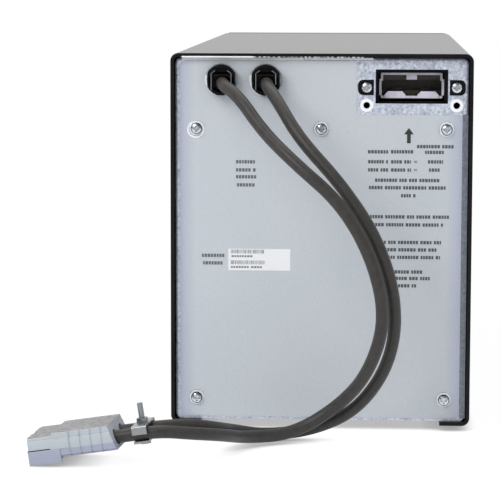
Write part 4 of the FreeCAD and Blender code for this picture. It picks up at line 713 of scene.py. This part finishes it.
def build_floor():
    """A white floor with a painted contact shadow: its glow is dimmed by ambient occlusion close round the
    part. Camera, glossy and transmission rays see it so, and all others see it plain pale grey."""
    mesh = bmesh.new()
    corners = ((-1, -1), (1, -1), (1, 1), (-1, 1))
    mesh.faces.new([mesh.verts.new((x * FLOOR_REACH, y * FLOOR_REACH, 0)) for x, y in corners])
    data = bpy.data.meshes.new("floor")
    mesh.to_mesh(data)
    mesh.free()
    floor = bpy.data.objects.new("floor", data)
    bpy.context.scene.collection.objects.link(floor)
    paint = bpy.data.materials.new("floor_white")
    paint.use_nodes = True
    tree = paint.node_tree
    tree.nodes.clear()
    output = tree.nodes.new("ShaderNodeOutputMaterial")
    plain = tree.nodes.new("ShaderNodeBsdfDiffuse")
    plain.inputs["Color"].default_value = (0.80, 0.81, 0.83, 1)
    shadowed = tree.nodes.new("ShaderNodeBsdfDiffuse")
    shadowed.inputs["Color"].default_value = (0.11, 0.11, 0.12, 1)
    glow = tree.nodes.new("ShaderNodeEmission")
    # painted contact shadow: ambient occlusion dims the floor's glow close round the part
    contact_shadow_ao = tree.nodes.new("ShaderNodeAmbientOcclusion")
    contact_shadow_ao.inputs["Distance"].default_value = 0.010
    contact_shadow_ao.samples = 12
    ramp = tree.nodes.new("ShaderNodeMapRange")
    set_range(ramp, 0.15, 0.75, 0.34, 0.94)
    tree.links.new(contact_shadow_ao.outputs["AO"], ramp.inputs["Value"])
    tree.links.new(ramp.outputs[0], glow.inputs["Strength"])
    both = tree.nodes.new("ShaderNodeAddShader")
    tree.links.new(shadowed.outputs[0], both.inputs[0])
    tree.links.new(glow.outputs[0], both.inputs[1])
    tree.links.new(light_path_mix(tree, both.outputs[0], plain.outputs[0]), output.inputs[0])
    data.materials.append(paint)


def build_world():
    """White behind the part, a room that is dark in front and white behind in the gloss, and soft light."""
    world = bpy.data.worlds.new("studio")
    bpy.context.scene.world = world
    world.use_nodes = True
    tree = world.node_tree
    tree.nodes.clear()
    output = tree.nodes.new("ShaderNodeOutputWorld")
    white = tree.nodes.new("ShaderNodeBackground")
    white.inputs["Color"].default_value = (1, 1, 1, 1)
    white.inputs["Strength"].default_value = 1.0
    dark_room = tree.nodes.new("ShaderNodeBackground")
    dark_room.inputs["Color"].default_value = (1, 1, 1, 1)
    towards = tree.nodes.new("ShaderNodeTexCoord")
    parts = tree.nodes.new("ShaderNodeSeparateXYZ")
    tree.links.new(towards.outputs["Generated"], parts.inputs[0])
    fall = tree.nodes.new("ShaderNodeMapRange")
    set_range(fall, -0.35, 0.4, 0.08, 1.06)
    tree.links.new(parts.outputs["Y"], fall.inputs["Value"])
    tree.links.new(fall.outputs[0], dark_room.inputs["Strength"])
    soft = tree.nodes.new("ShaderNodeBackground")
    soft.inputs["Color"].default_value = (0.93, 0.96, 1.0, 1)
    soft.inputs["Strength"].default_value = 0.55
    mirrored = light_path_mix(tree, dark_room.outputs[0], soft.outputs[0], ("Is Glossy Ray",))
    seen = light_path_mix(tree, white.outputs[0], mirrored, ("Is Camera Ray", "Is Transmission Ray"))
    tree.links.new(seen, output.inputs[0])


def soft_light(name, place, target, size, power):
    lamp = bpy.data.lights.new(name, "AREA")
    lamp.shape = "SQUARE"
    lamp.size = size
    lamp.energy = power
    piece = bpy.data.objects.new(name, lamp)
    piece.location = place
    piece.rotation_euler = (Vector(target) - Vector(place)).to_track_quat("-Z", "Y").to_euler()
    bpy.context.scene.collection.objects.link(piece)


CAMERA_PLACE = (0.0333, -1.5124, 0.25978)
CAMERA_YAW, CAMERA_PITCH, CAMERA_ROLL = math.radians(3.24), math.radians(-6.91), -0.0018


def build_camera():
    lens = bpy.data.cameras.new("camera")
    lens.sensor_width = 36
    lens.lens = 166
    lens.clip_end = 50
    camera = bpy.data.objects.new("camera", lens)
    turn = (Matrix.Rotation(CAMERA_YAW, 3, "Z") @ Matrix.Rotation(CAMERA_PITCH, 3, "X")
            @ Matrix.Rotation(CAMERA_ROLL, 3, "Y") @ Matrix.Rotation(math.radians(90), 3, "X"))
    camera.matrix_world = Matrix.Translation(CAMERA_PLACE) @ turn.to_4x4()
    bpy.context.scene.collection.objects.link(camera)
    bpy.context.scene.camera = camera


build_film_print()
build_label_print()
build_bare_metal()
build_plug_mouldings()
build_floor()
build_world()
soft_light("key", (-1.1, -1.5, 1.5), (0, -0.2, 0.1), 1.3, 26)
soft_light("fill", (1.3, -1.4, 0.9), (0, -0.2, 0.1), 1.2, 4)
soft_light("top", (0, 0.3, 1.9), (0, 0, 0.1), 1.6, 10)
soft_light("edge", (-0.9, -2.0, 0.86), (0, -0.2, 0.2), 0.18, 1.5)
build_camera()
bpy.context.scene.view_settings.view_transform = "Standard"
